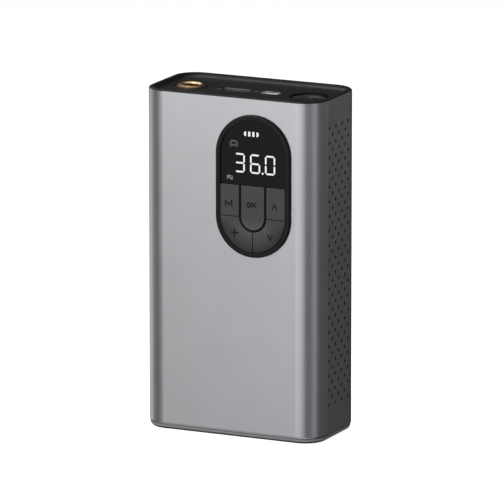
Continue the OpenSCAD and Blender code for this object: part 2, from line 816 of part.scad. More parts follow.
// ---- Motor ----------------------------------------------------------------------------------

fin_gap = 0.6;
pump_x = -in_w / 2 + fin_gap + fin_w / 2;
rod_t = 6;
pin_gap = 0.3;
pin_l = 4.4;
crank_x = pump_x + rod_t / 2 + pin_gap + pin_l;
plate_gap = 1.6;
plate_x = crank_x + gear_t + plate_gap;
motor_x = plate_x + plate_t;
saddle_places = [motor_x + 7, motor_x + motor_l - 10];
end_cap_l = 3.4;
rotor_r = motor_d / 2 - can_t - magnet_t - 0.5;
core_x = motor_x + 7;
core_l = motor_l - 16;
pole_count = 5;

// Turns a drawing in the x-y plane to face along X: x becomes Y, y becomes Z
module along_x(x, z) {
    translate([x, 0, z]) rotate([90, 0, 90]) children();
}

module motor_can() {
    color("#a2a4a7") along_x(motor_x, motor_z) difference() {
        cylinder(d = motor_d, h = motor_l);
        translate([0, 0, can_t]) cylinder(d = motor_d - 2 * can_t, h = motor_l);
        translate([0, 0, -over]) cylinder(d = shaft_d + 2 * running, h = can_t + 2 * over);
        for (side = [-1, 1]) translate([0, side * motor_screw_r, -over])
            cylinder(d = screw_d + 2 * close, h = can_t + 2 * over);
    }
}

module motor_end_cap() {
    plug = 3;
    color("#2d2f33") along_x(motor_x + motor_l, motor_z) difference() {
        union() {
            cylinder(d = motor_d, h = 1.6);
            translate([0, 0, -plug]) cylinder(d = motor_d - 2 * can_t - 2 * close, h = plug);
            cylinder(d = 9, h = end_cap_l);
        }
        translate([0, 0, -plug - over])
            cylinder(d = shaft_d + 2 * running, h = plug + over + end_cap_l - 1.5);
        translate([0, 0, -plug - over]) cylinder(d = motor_d - 2 * can_t - 5, h = plug + over - 1.2);
    }
}

module motor_magnets() {
    outer = motor_d / 2 - can_t - close;
    color("#55575a") along_x(core_x - 1, motor_z) for (turn = [30, 210]) rotate(turn)
        rotate_extrude(angle = 120) translate([outer - magnet_t, 0]) square([magnet_t, core_l + 2]);
}

// Slotted iron core: a hub, poles and the shoes at their ends
module motor_armature() {
    shoe_t = 1.4;
    color("#77797c") along_x(core_x, motor_z) linear_extrude(core_l) difference() {
        union() {
            circle(rotor_r * 0.42);
            for (i = [0:pole_count - 1]) rotate(i * 360 / pole_count)
                translate([0, -1.1]) square([rotor_r - shoe_t / 2, 2.2]);
            difference() {
                circle(rotor_r);
                circle(rotor_r - shoe_t);
                for (i = [0:pole_count - 1]) rotate((i + 0.5) * 360 / pole_count)
                    translate([0, -0.8]) square([rotor_r + over, 1.6]);
            }
        }
        circle(shaft_d / 2 + close);
    }
}

// Copper coils round the poles, and the commutator behind the core
module motor_windings() {
    copper_r = rotor_r - 1.7;
    color("#b06a35") along_x(core_x, motor_z) {
        translate([0, 0, -2.5]) tube(copper_r, shaft_d / 2 + 0.9, 2.4);
        translate([0, 0, core_l + 0.1]) tube(copper_r, shaft_d / 2 + 0.9, 2.4);
        for (i = [0:pole_count - 1]) rotate((i + 0.5) * 360 / pole_count)
            translate([rotor_r * 0.58, 0, -0.2]) cylinder(d = 2.6, h = core_l + 0.4);
        translate([0, 0, core_l + 2.4]) tube(3, shaft_d / 2 + close, 3);
    }
}

module tube(outer_r, inner_r, h) {
    difference() {
        cylinder(r = outer_r, h = h);
        translate([0, 0, -over]) cylinder(r = inner_r, h = h + 2 * over);
    }
}

module motor_shaft() {
    tip = crank_x - 0.4;
    color("#c4c6c9") along_x(tip, motor_z) cylinder(d = shaft_d, h = motor_x + motor_l + 1 - tip);
}

motor_screw_r = 8;

module motor_screws() {
    color("#8d8f92") for (side = [-1, 1])
        translate([plate_x + 0.6, 0, motor_z + side * motor_screw_r]) rotate([0, 90, 0])
            screw(screw_d, plate_t + can_t, head_d, 1.8);
}

// Rubber saddles under the motor
module motor_pads() {
    color("#1c1c1c") for (x = saddle_places) along_x(x, motor_z) rotate(180) rotate_extrude(angle = 180)
        translate([motor_d / 2 + close, 0]) square([pad_t - 2 * close, saddle_t]);
}

// ---- Gears ----------------------------------------------------------------------------------

pressure_angle = 20;
backlash = 0.1;
addendum = 0.85;
dedendum = 1.15;
flank_steps = 4;
centre_distance = gear_m * (pinion_teeth + crank_teeth) / 2;

// Angle of an involute at a radius, in degrees, counted from its base circle
function involute(base_r, r) = let (a = r > base_r ? acos(base_r / r) : 0) tan(a) * 180 / PI - a;
function polar(r, a) = [r * cos(a), r * sin(a)];

// Outline of an involute spur gear with the middle of one tooth at the angle first
module gear_outline(teeth, first) {
    pitch_r = gear_m * teeth / 2;
    base_r = pitch_r * cos(pressure_angle);
    root_r = pitch_r - dedendum * gear_m;
    tip_r = pitch_r + addendum * gear_m;
    start_r = max(base_r, root_r);
    half = 90 / teeth - backlash / 2 / pitch_r * 180 / PI / 2 + involute(base_r, pitch_r);
    flank = [for (i = [0:flank_steps]) let (r = start_r + (tip_r - start_r) * i / flank_steps)
        [r, half - involute(base_r, r)]];
    polygon([for (i = [0:teeth - 1]) let (mid = first + i * 360 / teeth) each concat(
        [polar(root_r, mid - half)],
        [for (p = flank) polar(p[0], mid - p[1])],
        [for (k = [flank_steps:-1:0]) polar(flank[k][0], mid + flank[k][1])],
        [polar(root_r, mid + half)]
    )]);
}

module drive_pinion() {
    color("#b59a5a") along_x(crank_x - 0.2, motor_z) linear_extrude(gear_t + 0.4) difference() {
        gear_outline(pinion_teeth, 90 + 180 / pinion_teeth);
        circle(shaft_d / 2 + 0.01);
    }
}

// ---- Pump -----------------------------------------------------------------------------------

crank_z = motor_z + centre_distance;
crank_r = stroke / 2;
frame_top = crank_z + gear_m * crank_teeth / 2 + 1.2 + shelf_t;
foot_pad_t = 1.5;
frame_foot = chassis_top + foot_pad_t;
frame_hw = 14;
foot_t = 3;
pump_screw_x = crank_x + 1;
pump_screw_y = [-9, 9];
bearing_t = plate_t;
pin_d = 4;
cyl_top = frame_top + cyl_h;
crown_z = cyl_top - 1;
head_gap = 0.8;
pump_head_h = 7;
head_bolt = fin_w / 2 - 2.1;
head_top = cyl_top + head_gap + pump_head_h;
rod_l = crown_z - crank_z - crank_r;

// Cast frame: the gear plate, a foot below it and a shelf that carries the cylinder
module pump_frame() {
    bearing_boss = bearing_d / 2 + 2;
    color("#9b9da0") difference() {
        union() {
            translate([plate_x, -frame_hw, frame_foot]) cube([plate_t, 2 * frame_hw, frame_top - frame_foot]);
            translate([pump_x - fin_w / 2, -frame_hw, frame_top - shelf_t])
                cube([plate_x + plate_t - pump_x + fin_w / 2, 2 * frame_hw, shelf_t]);
            translate([pump_screw_x - 5, -frame_hw, frame_foot])
                cube([plate_x + plate_t - pump_screw_x + 5, 2 * frame_hw, foot_t]);
            along_x(plate_x - 0.8, crank_z) cylinder(r = bearing_boss, h = plate_t);
        }
        along_x(plate_x - over, motor_z) cylinder(d = shaft_d + 4, h = plate_t + 2 * over);
        along_x(plate_x - over, crank_z) cylinder(d = bearing_d + 0.04, h = plate_t + 2 * over);
        for (side = [-1, 1]) translate([plate_x, 0, motor_z + side * motor_screw_r]) rotate([0, 90, 0]) {
            translate([0, 0, -over]) cylinder(d = screw_d + 2 * loose, h = plate_t + 2 * over);
            translate([0, 0, -over]) cylinder(d = head_d + 2 * loose, h = over + 0.6);
        }
        translate([pump_x, 0, frame_top - shelf_t - over])
            cylinder(d = bore_d + 2 * cyl_wall + 2 * close, h = shelf_t + 2 * over);
        translate([pump_x, 0, frame_top - shelf_t - over]) head_bolts()
            cylinder(d = screw_d + 2 * close, h = shelf_t + 2 * over);
        for (y = pump_screw_y) translate([pump_screw_x, y, frame_foot - over])
            cylinder(d = screw_d + 2 * loose, h = foot_t + 2 * over);
        for (side = [-1, 1]) translate([plate_x + plate_t / 2, side * 10.5, crank_z - 3])
            cube([plate_t + 2 * over, 4, 16], center = true);
    }
}

module pump_pads() {
    color("#1c1c1c") for (y = pump_screw_y) translate([pump_screw_x, y, chassis_top])
        tube(4, screw_d / 2 + loose, foot_pad_t);
}

module pump_screws() {
    color("#8d8f92") for (y = pump_screw_y)
        translate([pump_screw_x, y, frame_foot + foot_t]) mirror([0, 0, 1])
            screw(screw_d, foot_t + foot_pad_t + chassis_top - floor_z - 0.3, head_d, 1.6);
}

module crank_bearing() {
    color("#b4b6b9") along_x(plate_x, crank_z) {
        tube(bearing_d / 2, bearing_d / 2 - 1.4, bearing_t);
        tube(crank_shaft_d / 2 + 1.2, crank_shaft_d / 2 + running, bearing_t);
        translate([0, 0, 0.6]) tube(bearing_d / 2 - 1.4, crank_shaft_d / 2 + 1.2, bearing_t - 1.2);
    }
}

// Crank gear with its shaft behind and the crank pin in front, pin at the top of its circle
module crank_gear() {
    web_r = gear_m * crank_teeth / 2 - 3;
    color("#c2c4c6") along_x(crank_x, crank_z) {
        difference() {
            linear_extrude(gear_t) gear_outline(crank_teeth, -90);
            translate([0, 0, gear_t - 1.2]) tube(web_r, 5, 1.2 + over);
            for (turn = [18, 162, 234, 306]) rotate(turn)
                translate([(web_r + 5) / 2 + 0.3, 0, -over]) cylinder(d = 4.6, h = gear_t + 2 * over);
        }
        translate([0, 0, gear_t]) cylinder(d = crank_shaft_d + 2, h = plate_gap - 0.4);
        translate([0, 0, gear_t]) cylinder(d = crank_shaft_d, h = plate_gap + plate_t);
        translate([0, crank_r, -pin_l]) cylinder(d = pin_d, h = pin_l);
        translate([0, crank_r, -0.6]) cylinder(d = pin_d + 2, h = 0.6);
    }
}

// Piston and connecting rod in one piece, at the top of the stroke
module piston_rod() {
    piston_h = 5;
    color("#d6d6d2") translate([pump_x, 0, 0]) difference() {
        union() {
            translate([0, 0, crown_z - piston_h]) cylinder(d = bore_d - 0.5, h = piston_h);
            translate([-2, -3, crown_z - rod_l + 3]) cube([4, 6, rod_l - piston_h - 2]);
            translate([-rod_t / 2, 0, crown_z - rod_l]) rotate([0, 90, 0]) cylinder(d = pin_d + 5, h = rod_t);
        }
        translate([-rod_t / 2 - over, 0, crown_z - rod_l]) rotate([0, 90, 0])
            cylinder(d = pin_d + 0.2, h = rod_t + 2 * over);
        translate([0, 0, crown_z - 3.2]) tube(bore_d, bore_d / 2 - 1.4, 1.8);
    }
}

module piston_seal() {
    color("#2a2320") translate([pump_x, 0, crown_z - 3.2 + close])
        tube(bore_d / 2 - running, bore_d / 2 - 1.4 + close, 1.8 - 2 * close);
}

// Finned barrel that stands on the frame's shelf
module pump_cylinder() {
    barrel_r = bore_d / 2 + cyl_wall;
    fin_pitch = (cyl_h - fin_t) / fins;
    color("#a4a6a9") translate([pump_x, 0, frame_top]) difference() {
        union() {
            translate([0, 0, -shelf_t]) cylinder(r = barrel_r, h = cyl_h + shelf_t);
            for (i = [0:fins]) translate([0, 0, i * fin_pitch])
                linear_extrude(fin_t) rounded_rect(fin_w, fin_w, 2);
        }
        translate([0, 0, -shelf_t - over]) cylinder(d = bore_d, h = cyl_h + shelf_t + 2 * over);
        head_bolts() translate([0, 0, -over]) cylinder(d = screw_d + 2 * close, h = cyl_h + 2 * over);
    }
}

// Repeats its children at the four corners of the square head
module head_bolts() {
    for (x = [-1, 1], y = [-1, 1]) translate([x * head_bolt, y * head_bolt, 0]) children();
}

// Spring-steel plate with the ring of outlet holes and the tongue that closes them
module valve_plate() {
    color("#b9bbbe") translate([pump_x, 0, cyl_top]) difference() {
        linear_extrude(head_gap) rounded_rect(fin_w, fin_w, 2);
        for (i = [0:5]) rotate(60 * i) translate([bore_d / 4, 0, -over])
            cylinder(d = 2, h = 2 * over + head_gap);
        head_bolts() translate([0, 0, -over]) cylinder(d = screw_d + 2 * close, h = head_gap + 2 * over);
    }
}

module cylinder_head() {
    color("#a4a6a9") translate([pump_x, 0, cyl_top + head_gap]) difference() {
        union() {
            linear_extrude(2) rounded_rect(fin_w, fin_w, 2);
            translate([0, 0, 3.2]) linear_extrude(1) rounded_rect(fin_w, fin_w, 2);
            head_bolts() cylinder(r = 2, h = pump_head_h);
            cylinder(r = bore_d / 2 + 1, h = pump_head_h);
            cylinder(d = barb_d, h = pump_head_h + barb_l);
        }
        translate([0, 0, -over]) cylinder(r = bore_d / 2 - 1, h = over + 3);
        cylinder(d = barb_d - 1.6, h = pump_head_h + barb_l + over);
        head_bolts() translate([0, 0, -over]) cylinder(d = screw_d + 2 * close, h = pump_head_h + 2 * over);
    }
}

module head_screws() {
    shank_l = pump_head_h + head_gap + cyl_h + shelf_t - 0.4;
    color("#8d8f92") translate([pump_x, 0, head_top]) head_bolts() mirror([0, 0, 1])
        screw(screw_d, shank_l, 3.8, head_h);
}

hose_low = head_top + 0.4;
hose_high = outlet_body_end - 0.4;

hose_end = barb_l + 2;

// Straight runs of one round section through a list of points
module runs(points, d, ends) {
    for (i = [1:len(points) - 1]) let (v = points[i] - points[i - 1])
        translate(points[i - 1]) rotate([0, acos(v[2] / norm(v)), atan2(v[1], v[0])])
            translate([0, 0, -ends]) cylinder(d = d, h = norm(v) + 2 * ends);
}

// Rubber hose, square to both barbs at its ends
module air_hose() {
    points = [[pump_x, 0, hose_low], [pump_x, 0, hose_low + hose_end],
        [outlet_x, 0, hose_high - hose_end], [outlet_x, 0, hose_high]];
    color("#202124") difference() {
        runs(points, hose_d, 0);
        runs(points, hose_bore, close);
    }
}

// Crimped rings that hold the hose on both barbs
module hose_clips() {
    ring_t = 0.7;
    ring_h = 3.5;
    mid = (barb_l - ring_h) / 2;
    color("#b9bbbe") for (p = [[pump_x, hose_low + mid], [outlet_x, hose_high - mid - ring_h]])
        translate([p[0], 0, p[1]]) {
            tube(hose_d / 2 + ring_t, hose_d / 2 + 0.02, ring_h);
            translate([hose_d / 2 + ring_t - 0.2, -1, 0]) cube([1.8, 2, ring_h]);
        }
}

// ---- Battery --------------------------------------------------------------------------------

holder_gap = 1;
spine_t = 1;
holder_t = 2;
nickel_t = 0.3;
cell_gap = 0.6;
cell_right_x = in_w / 2 - 1 - cell_d / 2;
cell_left_x = cell_right_x - cell_d - cell_gap;
cell_y = rear_y - chassis_t - holder_gap - spine_t - close - cell_d / 2;
holder_z = motor_z + motor_d / 2 + 3;
cell_z = holder_z + holder_t + nickel_t;
holder_top = cell_z + cell_l + nickel_t + holder_t;

// The main board fills the height from the battery holder up to the deck
main_h = main_top - holder_top - board_gap;
holder_rail_z = [holder_z + 8, holder_top - 12];
spine_x0 = cell_left_x - 3;
spine_w = cell_right_x - cell_left_x + 6;
cells_w = 2 * cell_d + cell_gap;
lug_y = min(-board_face - main_t, cell_y - cell_d / 2 - nickel_t - 0.65);

// Two end plates joined by a spine behind the cells
module battery_holder() {
    mid = (cell_left_x + cell_right_x) / 2;
    spine_y = cell_y + cell_d / 2 + close;
    color("#3d6a86") {
        for (z = [holder_z, holder_top - holder_t]) translate([mid, cell_y, z]) {
            linear_extrude(holder_t) rounded_rect(cells_w + 0.3, cell_d, cell_d / 2 - 1);
            translate([-spine_w / 2, 0, 0]) cube([spine_w, cell_d / 2 + close + spine_t, holder_t]);
        }
        translate([spine_x0, spine_y, holder_z]) cube([spine_w, spine_t, holder_top - holder_z]);
    }
}

module battery_cell(x, button_up) {
    cap_l = 0.8;
    color("#2f7d8c") translate([x, cell_y, cell_z + (button_up ? 0 : cell_l)])
        mirror([0, 0, button_up ? 0 : 1]) {
            cylinder(d = cell_d, h = cell_l - cap_l);
            cylinder(d = 7, h = cell_l);
        }
}

module battery_cell_left() battery_cell(cell_left_x, true);

module battery_cell_right() battery_cell(cell_right_x, false);

// Welded nickel strips: one bridge below the cells and one lug on each above
module cell_tabs() {
    strip_w = 6;
    top_z = cell_z + cell_l;
    color("#c3c3bd") {
        translate([cell_left_x - 4, cell_y - strip_w / 2, cell_z - nickel_t])
            cube([cell_right_x - cell_left_x + 8, strip_w, nickel_t]);
        for (x = [cell_left_x, cell_right_x]) {
            translate([x - 3, lug_y, top_z]) cube([strip_w, cell_y + 4 - lug_y, nickel_t]);
            translate([x - 3, lug_y, top_z - 6]) cube([strip_w, nickel_t, 6 + nickel_t]);
        }
    }
}

// ---- Leads ----------------------------------------------------------------------------------

lead_d = 1.5;

// Insulated wire through a list of points
module wire(points) {
    for (i = [1:len(points) - 1]) let (v = points[i] - points[i - 1])
        translate(points[i - 1]) rotate([0, acos(v[2] / norm(v)), atan2(v[1], v[0])])
            cylinder(d = lead_d, h = norm(v), $fn = 24);
    if (len(points) > 2) for (i = [1:len(points) - 2])
        translate(points[i]) sphere(d = lead_d + 0.12, $fn = 24);
}

module battery_leads() {
    y = lug_y - lead_d / 2 - 0.02;
    foot = main_top - main_h;
    low = cell_z + cell_l - 4;
    color("#a8322c") {
        wire([[cell_left_x, y, low], [cell_left_x, y, foot + 4]]);
        wire([[cell_right_x, y, low], [cell_right_x, y, foot + 2], [main_x1 - 2, y, foot + 2]]);
    }
}

module motor_leads() {
    end_x = motor_x + motor_l + 1.6;
    x = in_w / 2 - 1.8;
    y = lug_y - lead_d / 2 - 0.02;
    foot = main_top - main_h;
    color("#2b2b2b")
        for (i = [0, 1]) let (s = 2.2 * i, lug = -10 + 1.6 * s, front = y - 2.2 + s, up = foot + 4.2 + s)
            wire([[end_x, lug, motor_z], [x, lug, motor_z], [x, front, motor_z + 18],
                [x, front, up], [main_x1 + 2, front, up], [main_x1 - 2, y, up]]);
}

housing_sleeve();
top_cap();
base_cap();
base_screws();
chassis();
cap_screws();
dust_screens();
panel_bezel();
display_lens();
display_module();
mode_button();
plus_button();
ok_button();
up_button();
down_button();
key_switches();
control_board();
panel_screws();
air_outlet();
outlet_nut();
outlet_o_ring();
usb_a_shell();
usb_a_tongue();
usb_c_shell();
usb_c_tongue();
status_light_pipe();
lamp_lens();
lamp_reflector();
lamp_board();
main_board();
board_parts();
pressure_sensor();
motor_can();
motor_end_cap();
motor_magnets();
motor_armature();
motor_windings();
motor_shaft();
drive_pinion();
motor_screws();
motor_pads();
pump_frame();
pump_pads();
pump_screws();
crank_bearing();
crank_gear();
piston_rod();
piston_seal();
pump_cylinder();
valve_plate();
cylinder_head();
head_screws();
air_hose();
hose_clips();
battery_holder();
battery_cell_left();
battery_cell_right();
cell_tabs();
battery_leads();
motor_leads();
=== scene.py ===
import math

import bmesh
import bpy
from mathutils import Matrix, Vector


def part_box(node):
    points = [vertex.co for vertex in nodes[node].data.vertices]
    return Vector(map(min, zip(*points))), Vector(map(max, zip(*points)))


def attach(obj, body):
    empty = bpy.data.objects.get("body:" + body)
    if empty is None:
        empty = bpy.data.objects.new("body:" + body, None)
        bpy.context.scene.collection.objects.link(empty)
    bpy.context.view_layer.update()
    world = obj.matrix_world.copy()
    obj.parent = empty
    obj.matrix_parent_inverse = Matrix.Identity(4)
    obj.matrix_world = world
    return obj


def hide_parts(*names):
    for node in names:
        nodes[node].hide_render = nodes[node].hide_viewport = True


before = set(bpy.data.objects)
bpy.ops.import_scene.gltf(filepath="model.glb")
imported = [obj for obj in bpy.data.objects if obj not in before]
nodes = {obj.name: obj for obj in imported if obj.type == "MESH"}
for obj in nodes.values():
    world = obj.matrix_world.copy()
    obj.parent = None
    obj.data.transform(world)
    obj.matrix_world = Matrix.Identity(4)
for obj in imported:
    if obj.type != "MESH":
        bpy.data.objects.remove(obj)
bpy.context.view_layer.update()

# ---- Studio ----
# The inflator stands on a pale table in a white room. A long lens looks at it from the front
# right and a little above. Large soft cards light it, and stay out of every camera's sight.

MM = 0.001
body_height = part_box("top_cap")[1].z
camera_azimuth = math.radians(25.2046)
camera_elevation = math.radians(12.636)
camera_distance = 21.0605 * body_height
camera_lens = 525.75
sensor_width = 36.0
aim_right = -0.001 * body_height
aim_up = 0.0204 * body_height


def direction(azimuth, elevation):
    """The way out from the body. Azimuth 0 is straight in front of it."""
    return Vector((
        math.sin(azimuth) * math.cos(elevation), -math.cos(azimuth) * math.cos(elevation),
        math.sin(elevation),
    ))


towards_camera = direction(camera_azimuth, camera_elevation)
camera_right = Vector((math.cos(camera_azimuth), math.sin(camera_azimuth), 0))
camera_up = towards_camera.cross(camera_right)
aim = Vector((0, 0, body_height / 2)) + camera_right * aim_right + camera_up * aim_up


def place(name, data):
    """A new object in the scene."""
    made = bpy.data.objects.new(name, data)
    bpy.context.scene.collection.objects.link(made)
    return made


camera = place("camera", bpy.data.cameras.new("camera"))
camera.data.lens = camera_lens
camera.data.sensor_width = sensor_width
camera.data.clip_end = 20
camera.location = aim + towards_camera * camera_distance
camera.rotation_euler = towards_camera.to_track_quat("Z", "Y").to_euler()
bpy.context.scene.camera = camera
bpy.context.scene.view_settings.view_transform = "Standard"


def join(tree, value, socket):
    """Links another node's socket to this one, or fills it with a plain value."""
    if isinstance(value, bpy.types.NodeSocket):
        tree.links.new(value, socket)
    else:
        socket.default_value = value


def node(tree, kind, **values):
    """A shader node. Names with a capital are its sockets, and the others are its settings."""
    made = tree.nodes.new("ShaderNode" + kind)
    for name, value in values.items():
        if name[0].islower():
            setattr(made, name, value)
        else:
            join(tree, value, made.inputs[name.replace("_", " ")])
    return made


def new_material(name):
    """A material with nothing but its output, and its tree."""
    material = bpy.data.materials.new(name)
    material.use_nodes = True
    tree = material.node_tree
    tree.nodes.clear()
    node(tree, "OutputMaterial")
    return material, tree


def shade(tree, **values):
    """The material's own shader, on its surface."""
    shader = node(tree, "BsdfPrincipled", **values)
    join(tree, shader.outputs[0], tree.nodes["Material Output"].inputs["Surface"])


def softbox(azimuth, elevation, width, height, radiance, colour=(1, 1, 1)):
    """A soft card that faces the middle of the body, with its angles in degrees."""
    away = direction(math.radians(azimuth), math.radians(elevation))
    name = "card_%d_%d" % (azimuth, elevation)
    data = bpy.data.lights.new(name, "AREA")
    data.shape = "RECTANGLE"
    data.size, data.size_y = width, height
    data.energy = radiance * width * height * math.pi
    data.color = colour
    light = place(name, data)
    light.location = Vector((0, 0, body_height / 2)) + away * card_distance
    light.rotation_euler = away.to_track_quat("Z", "Y").to_euler()
    light.visible_camera = False


cool_white = (0.985, 0.975, 1.045)
card_distance = 0.8
card_width, card_height = 0.268, 0.355
wide_card = 0.34
card_elevations = (40, 12, -13, -38)
card_columns = (
    (-140, 0.16, 0.10, 0.03, 0.00),
    (-120, 1.93, 0.03, 0.62, 0.06),
    (-100, 0.34, 0.35, 0.72, 0.00),
    (-80, 0.22, 0.10, 0.25, 0.00),
    (-60, 0.46, 0.09, 0.09, 0.21),
    (-42, 0.88, 0.53, 0.07, 0.00),
    (-25, 0.14, 2.32, 0.61, 0.00),
    (-8, 0.85, 0.88, 0.89, 0.00),
    (10, 0.50, 1.09, 0.67, 0.21),
    (30, 0.00, 0.50, 0.05, 0.00),
    (48, 0.19, 0.47, 0.09, 0.05),
    (68, 0.31, 0.53, 0.46, 0.00),
    (90, 0.36, 0.31, 0.05, 0.00),
    (115, 0.24, 0.21, 0.06, 0.00),
    (140, 0.00, 0.54, 0.07, 0.00),
    (165, 0.00, 0.08, 0.00, 0.00),
)
for azimuth, *radiances in card_columns:
    for elevation, radiance in zip(card_elevations, radiances):
        if radiance:
            tint = cool_white if azimuth > -20 else (1, 1, 1)
            softbox(azimuth, elevation, card_width, card_height, radiance, tint)
for azimuth, elevation, radiance in (
    (-150, 68, 2.12), (-90, 68, 2.80), (-30, 68, 1.20), (30, 68, 0.35), (90, 68, 0.25), (150, 68, 0.45),
    (-50, -62, 0.90), (0, -62, 1.16), (50, -62, 0.64),
):
    softbox(azimuth, elevation, wide_card, wide_card, radiance)

room = bpy.data.worlds.new("room")
room.use_nodes = True
tree = room.node_tree
tree.nodes.clear()
bpy.context.scene.world = room
seen_wall = node(tree, "Background", Color=(1, 1, 1, 1))
room_light = node(tree, "Background", Color=(1, 1, 1, 1), Strength=0.040)
wall = node(tree, "MixShader", Fac=node(tree, "LightPath").outputs["Is Camera Ray"])
join(tree, room_light.outputs[0], wall.inputs[1])
join(tree, seen_wall.outputs[0], wall.inputs[2])
node(tree, "OutputWorld", Surface=wall.outputs[0])

table_half = 6.0
four_corners = ((-1, -1), (1, -1), (1, 1), (-1, 1))
table_mesh = bpy.data.meshes.new("table_top")
table_mesh.from_pydata([(x * table_half, y * table_half, 0) for x, y in four_corners], [], [(0, 1, 2, 3)])
table_top = place("table_top", table_mesh)
table_white, tree = new_material("table_white")
shade(
    tree, Base_Color=(0.9, 0.9, 0.9, 1), Roughness=0.9,
    Emission_Color=(1, 1, 1, 1), Emission_Strength=0.85,
)
table_mesh.materials.append(table_white)
table_top.visible_glossy = False
table_top.visible_diffuse = False
table_top.visible_shadow = False

# ---- Metal sleeve ----
# One aluminium extrusion, cut to length, bead-blasted and anodised grey. The vents are drilled
# through both sides, and the control panel and the two caps close it.


def maths(tree, operation, *values):
    """The result of one sum or product."""
    made = node(tree, "Math", operation=operation)
    for value, socket in zip(values, made.inputs):
        join(tree, value, socket)
    return made.outputs[0]


def times(tree, first, second):
    """The product of two values."""
    return maths(tree, "MULTIPLY", first, second)


def vector_maths(tree, operation, *values):
    """The results of one sum or product of vectors, as Vector and as Value."""
    made = node(tree, "VectorMath", operation=operation)
    for value, socket in zip(values, made.inputs):
        join(tree, value, socket)
    return made.outputs


def ramp(tree, value, start, end, low=0.0, high=1.0):
    """Goes from low to high while the value goes from start to end."""
    made = node(tree, "MapRange", Value=value, From_Min=start, From_Max=end, To_Min=low, To_Max=high)
    return made.outputs["Result"]


def spot(tree):
    """Where a point lies in the part."""
    return node(tree, "TexCoord").outputs["Object"]


def spot_xyz(tree):
    """The same place as its X, Y and Z."""
    return node(tree, "SeparateXYZ", Vector=spot(tree)).outputs


def between(tree, factor, first, second):
    """A colour between two others."""
    made = node(tree, "Mix", data_type="RGBA")
    for value, index in ((factor, 0), (first, 6), (second, 7)):
        join(tree, value, made.inputs[index])
    return made.outputs[2]


def new_group(name, inputs, outputs):
    """A shared effect: a node group with its named sockets, and the nodes at its two ends."""
    group = bpy.data.node_groups.new(name, "ShaderNodeTree")
    for label, value in inputs.items():
        kind = "NodeSocketVector" if isinstance(value, tuple) else "NodeSocketFloat"
        group.interface.new_socket(label, in_out="INPUT", socket_type=kind).default_value = value
    for label in outputs:
        group.interface.new_socket(label, in_out="OUTPUT", socket_type="NodeSocketFloat")
    return group, group.nodes.new("NodeGroupInput").outputs, group.nodes.new("NodeGroupOutput").inputs


# Fine even texture of a blasted, cast or spark-eroded face, and a slow change of tone
fine_grain, given, result = new_group("fine_grain", {"Grains per metre": 2000.0}, ["Height", "Tone"])
grains = node(
    fine_grain, "TexNoise", Vector=spot(fine_grain),
    Scale=given["Grains per metre"], Detail=2.0, Roughness=0.6,
)
clouds = node(fine_grain, "TexNoise", Vector=spot(fine_grain), Scale=55.0, Detail=3.0, Roughness=0.55)
join(fine_grain, grains.outputs["Fac"], result["Height"])
join(fine_grain, ramp(fine_grain, clouds.outputs["Fac"], 0.3, 0.7), result["Tone"])

# Outer edges, where a finish is rubbed thin and brighter, and where a highlight is painted
rubbed_and_highlit_edge, given, result = new_group("rubbed_and_highlit_edge", {"Width": 0.0004, "Breaks": 300.0}, ["Mask"])
rounded = node(rubbed_and_highlit_edge, "Bevel", samples=4, Radius=given["Width"])
straight = node(rubbed_and_highlit_edge, "NewGeometry")
likeness = vector_maths(
    rubbed_and_highlit_edge, "DOT_PRODUCT", rounded.outputs["Normal"], straight.outputs["Normal"],
)
turned_away = ramp(rubbed_and_highlit_edge, likeness["Value"], 0.995, 0.85)
breaks = node(rubbed_and_highlit_edge, "TexNoise", Vector=spot(rubbed_and_highlit_edge), Scale=given["Breaks"], Detail=2.0)
broken = ramp(rubbed_and_highlit_edge, breaks.outputs["Fac"], 0.4, 0.62, low=0.25)
join(rubbed_and_highlit_edge, times(rubbed_and_highlit_edge, turned_away, broken), result["Mask"])

# Faint marks of hands, which make a face a little duller or shinier in patches
handling, given, result = new_group("handling", {"Patches per metre": 30.0, "Amount": 0.04}, ["Shift"])
patches = node(
    handling, "TexNoise", Vector=spot(handling),
    Scale=given["Patches per metre"], Detail=5.0, Roughness=0.65, Distortion=0.6,
)
even = ramp(handling, patches.outputs["Fac"], 0.3, 0.7, low=-1.0)
join(handling, times(handling, even, given["Amount"]), result["Shift"])


def with_effect(tree, group, **values):
    """A shared effect placed in a material with its own values."""
    return node(tree, "Group", node_tree=group, **values).outputs


def grained(tree, grains):
    """The height and the tone of a face with so many grains per metre."""
    return with_effect(tree, fine_grain, Grains_per_metre=grains)


def rubbed_and_highlit(tree, width, breaks, share=1.0):
    """How far the outer edges are rubbed, and painted with a highlight."""
    return times(tree, with_effect(tree, rubbed_and_highlit_edge, Width=width, Breaks=breaks)[0], share)


def handled(tree, roughness, patches, amount):
    """A roughness with the marks of hands in it, in so many patches per metre."""
    marks = with_effect(tree, handling, Patches_per_metre=patches, Amount=amount)
    return maths(tree, "ADD", marks[0], roughness)


def bumped(tree, height, depth, strength=1.0):
    """The normal of a face that stands out by a depth in mm where the height is 1."""
    return node(tree, "Bump", Height=height, Distance=depth * MM, Strength=strength).outputs["Normal"]


def dress(material, *names):
    """Gives a finish to solids that keep their shape."""
    for name in names:
        nodes[name].data.materials.clear()
        nodes[name].data.materials.append(material)


sleeve_grey = (0.600, 0.600, 0.615, 1)
sleeve_deep = (0.578, 0.578, 0.594, 1)
sleeve_bare_and_highlit = (0.88, 0.88, 0.89, 1)
sleeve_roughness = 0.34
blast_per_metre = 5200.0
blast_depth = 0.0022
draw_line_stretch = (1.0, 1.0, 0.006)

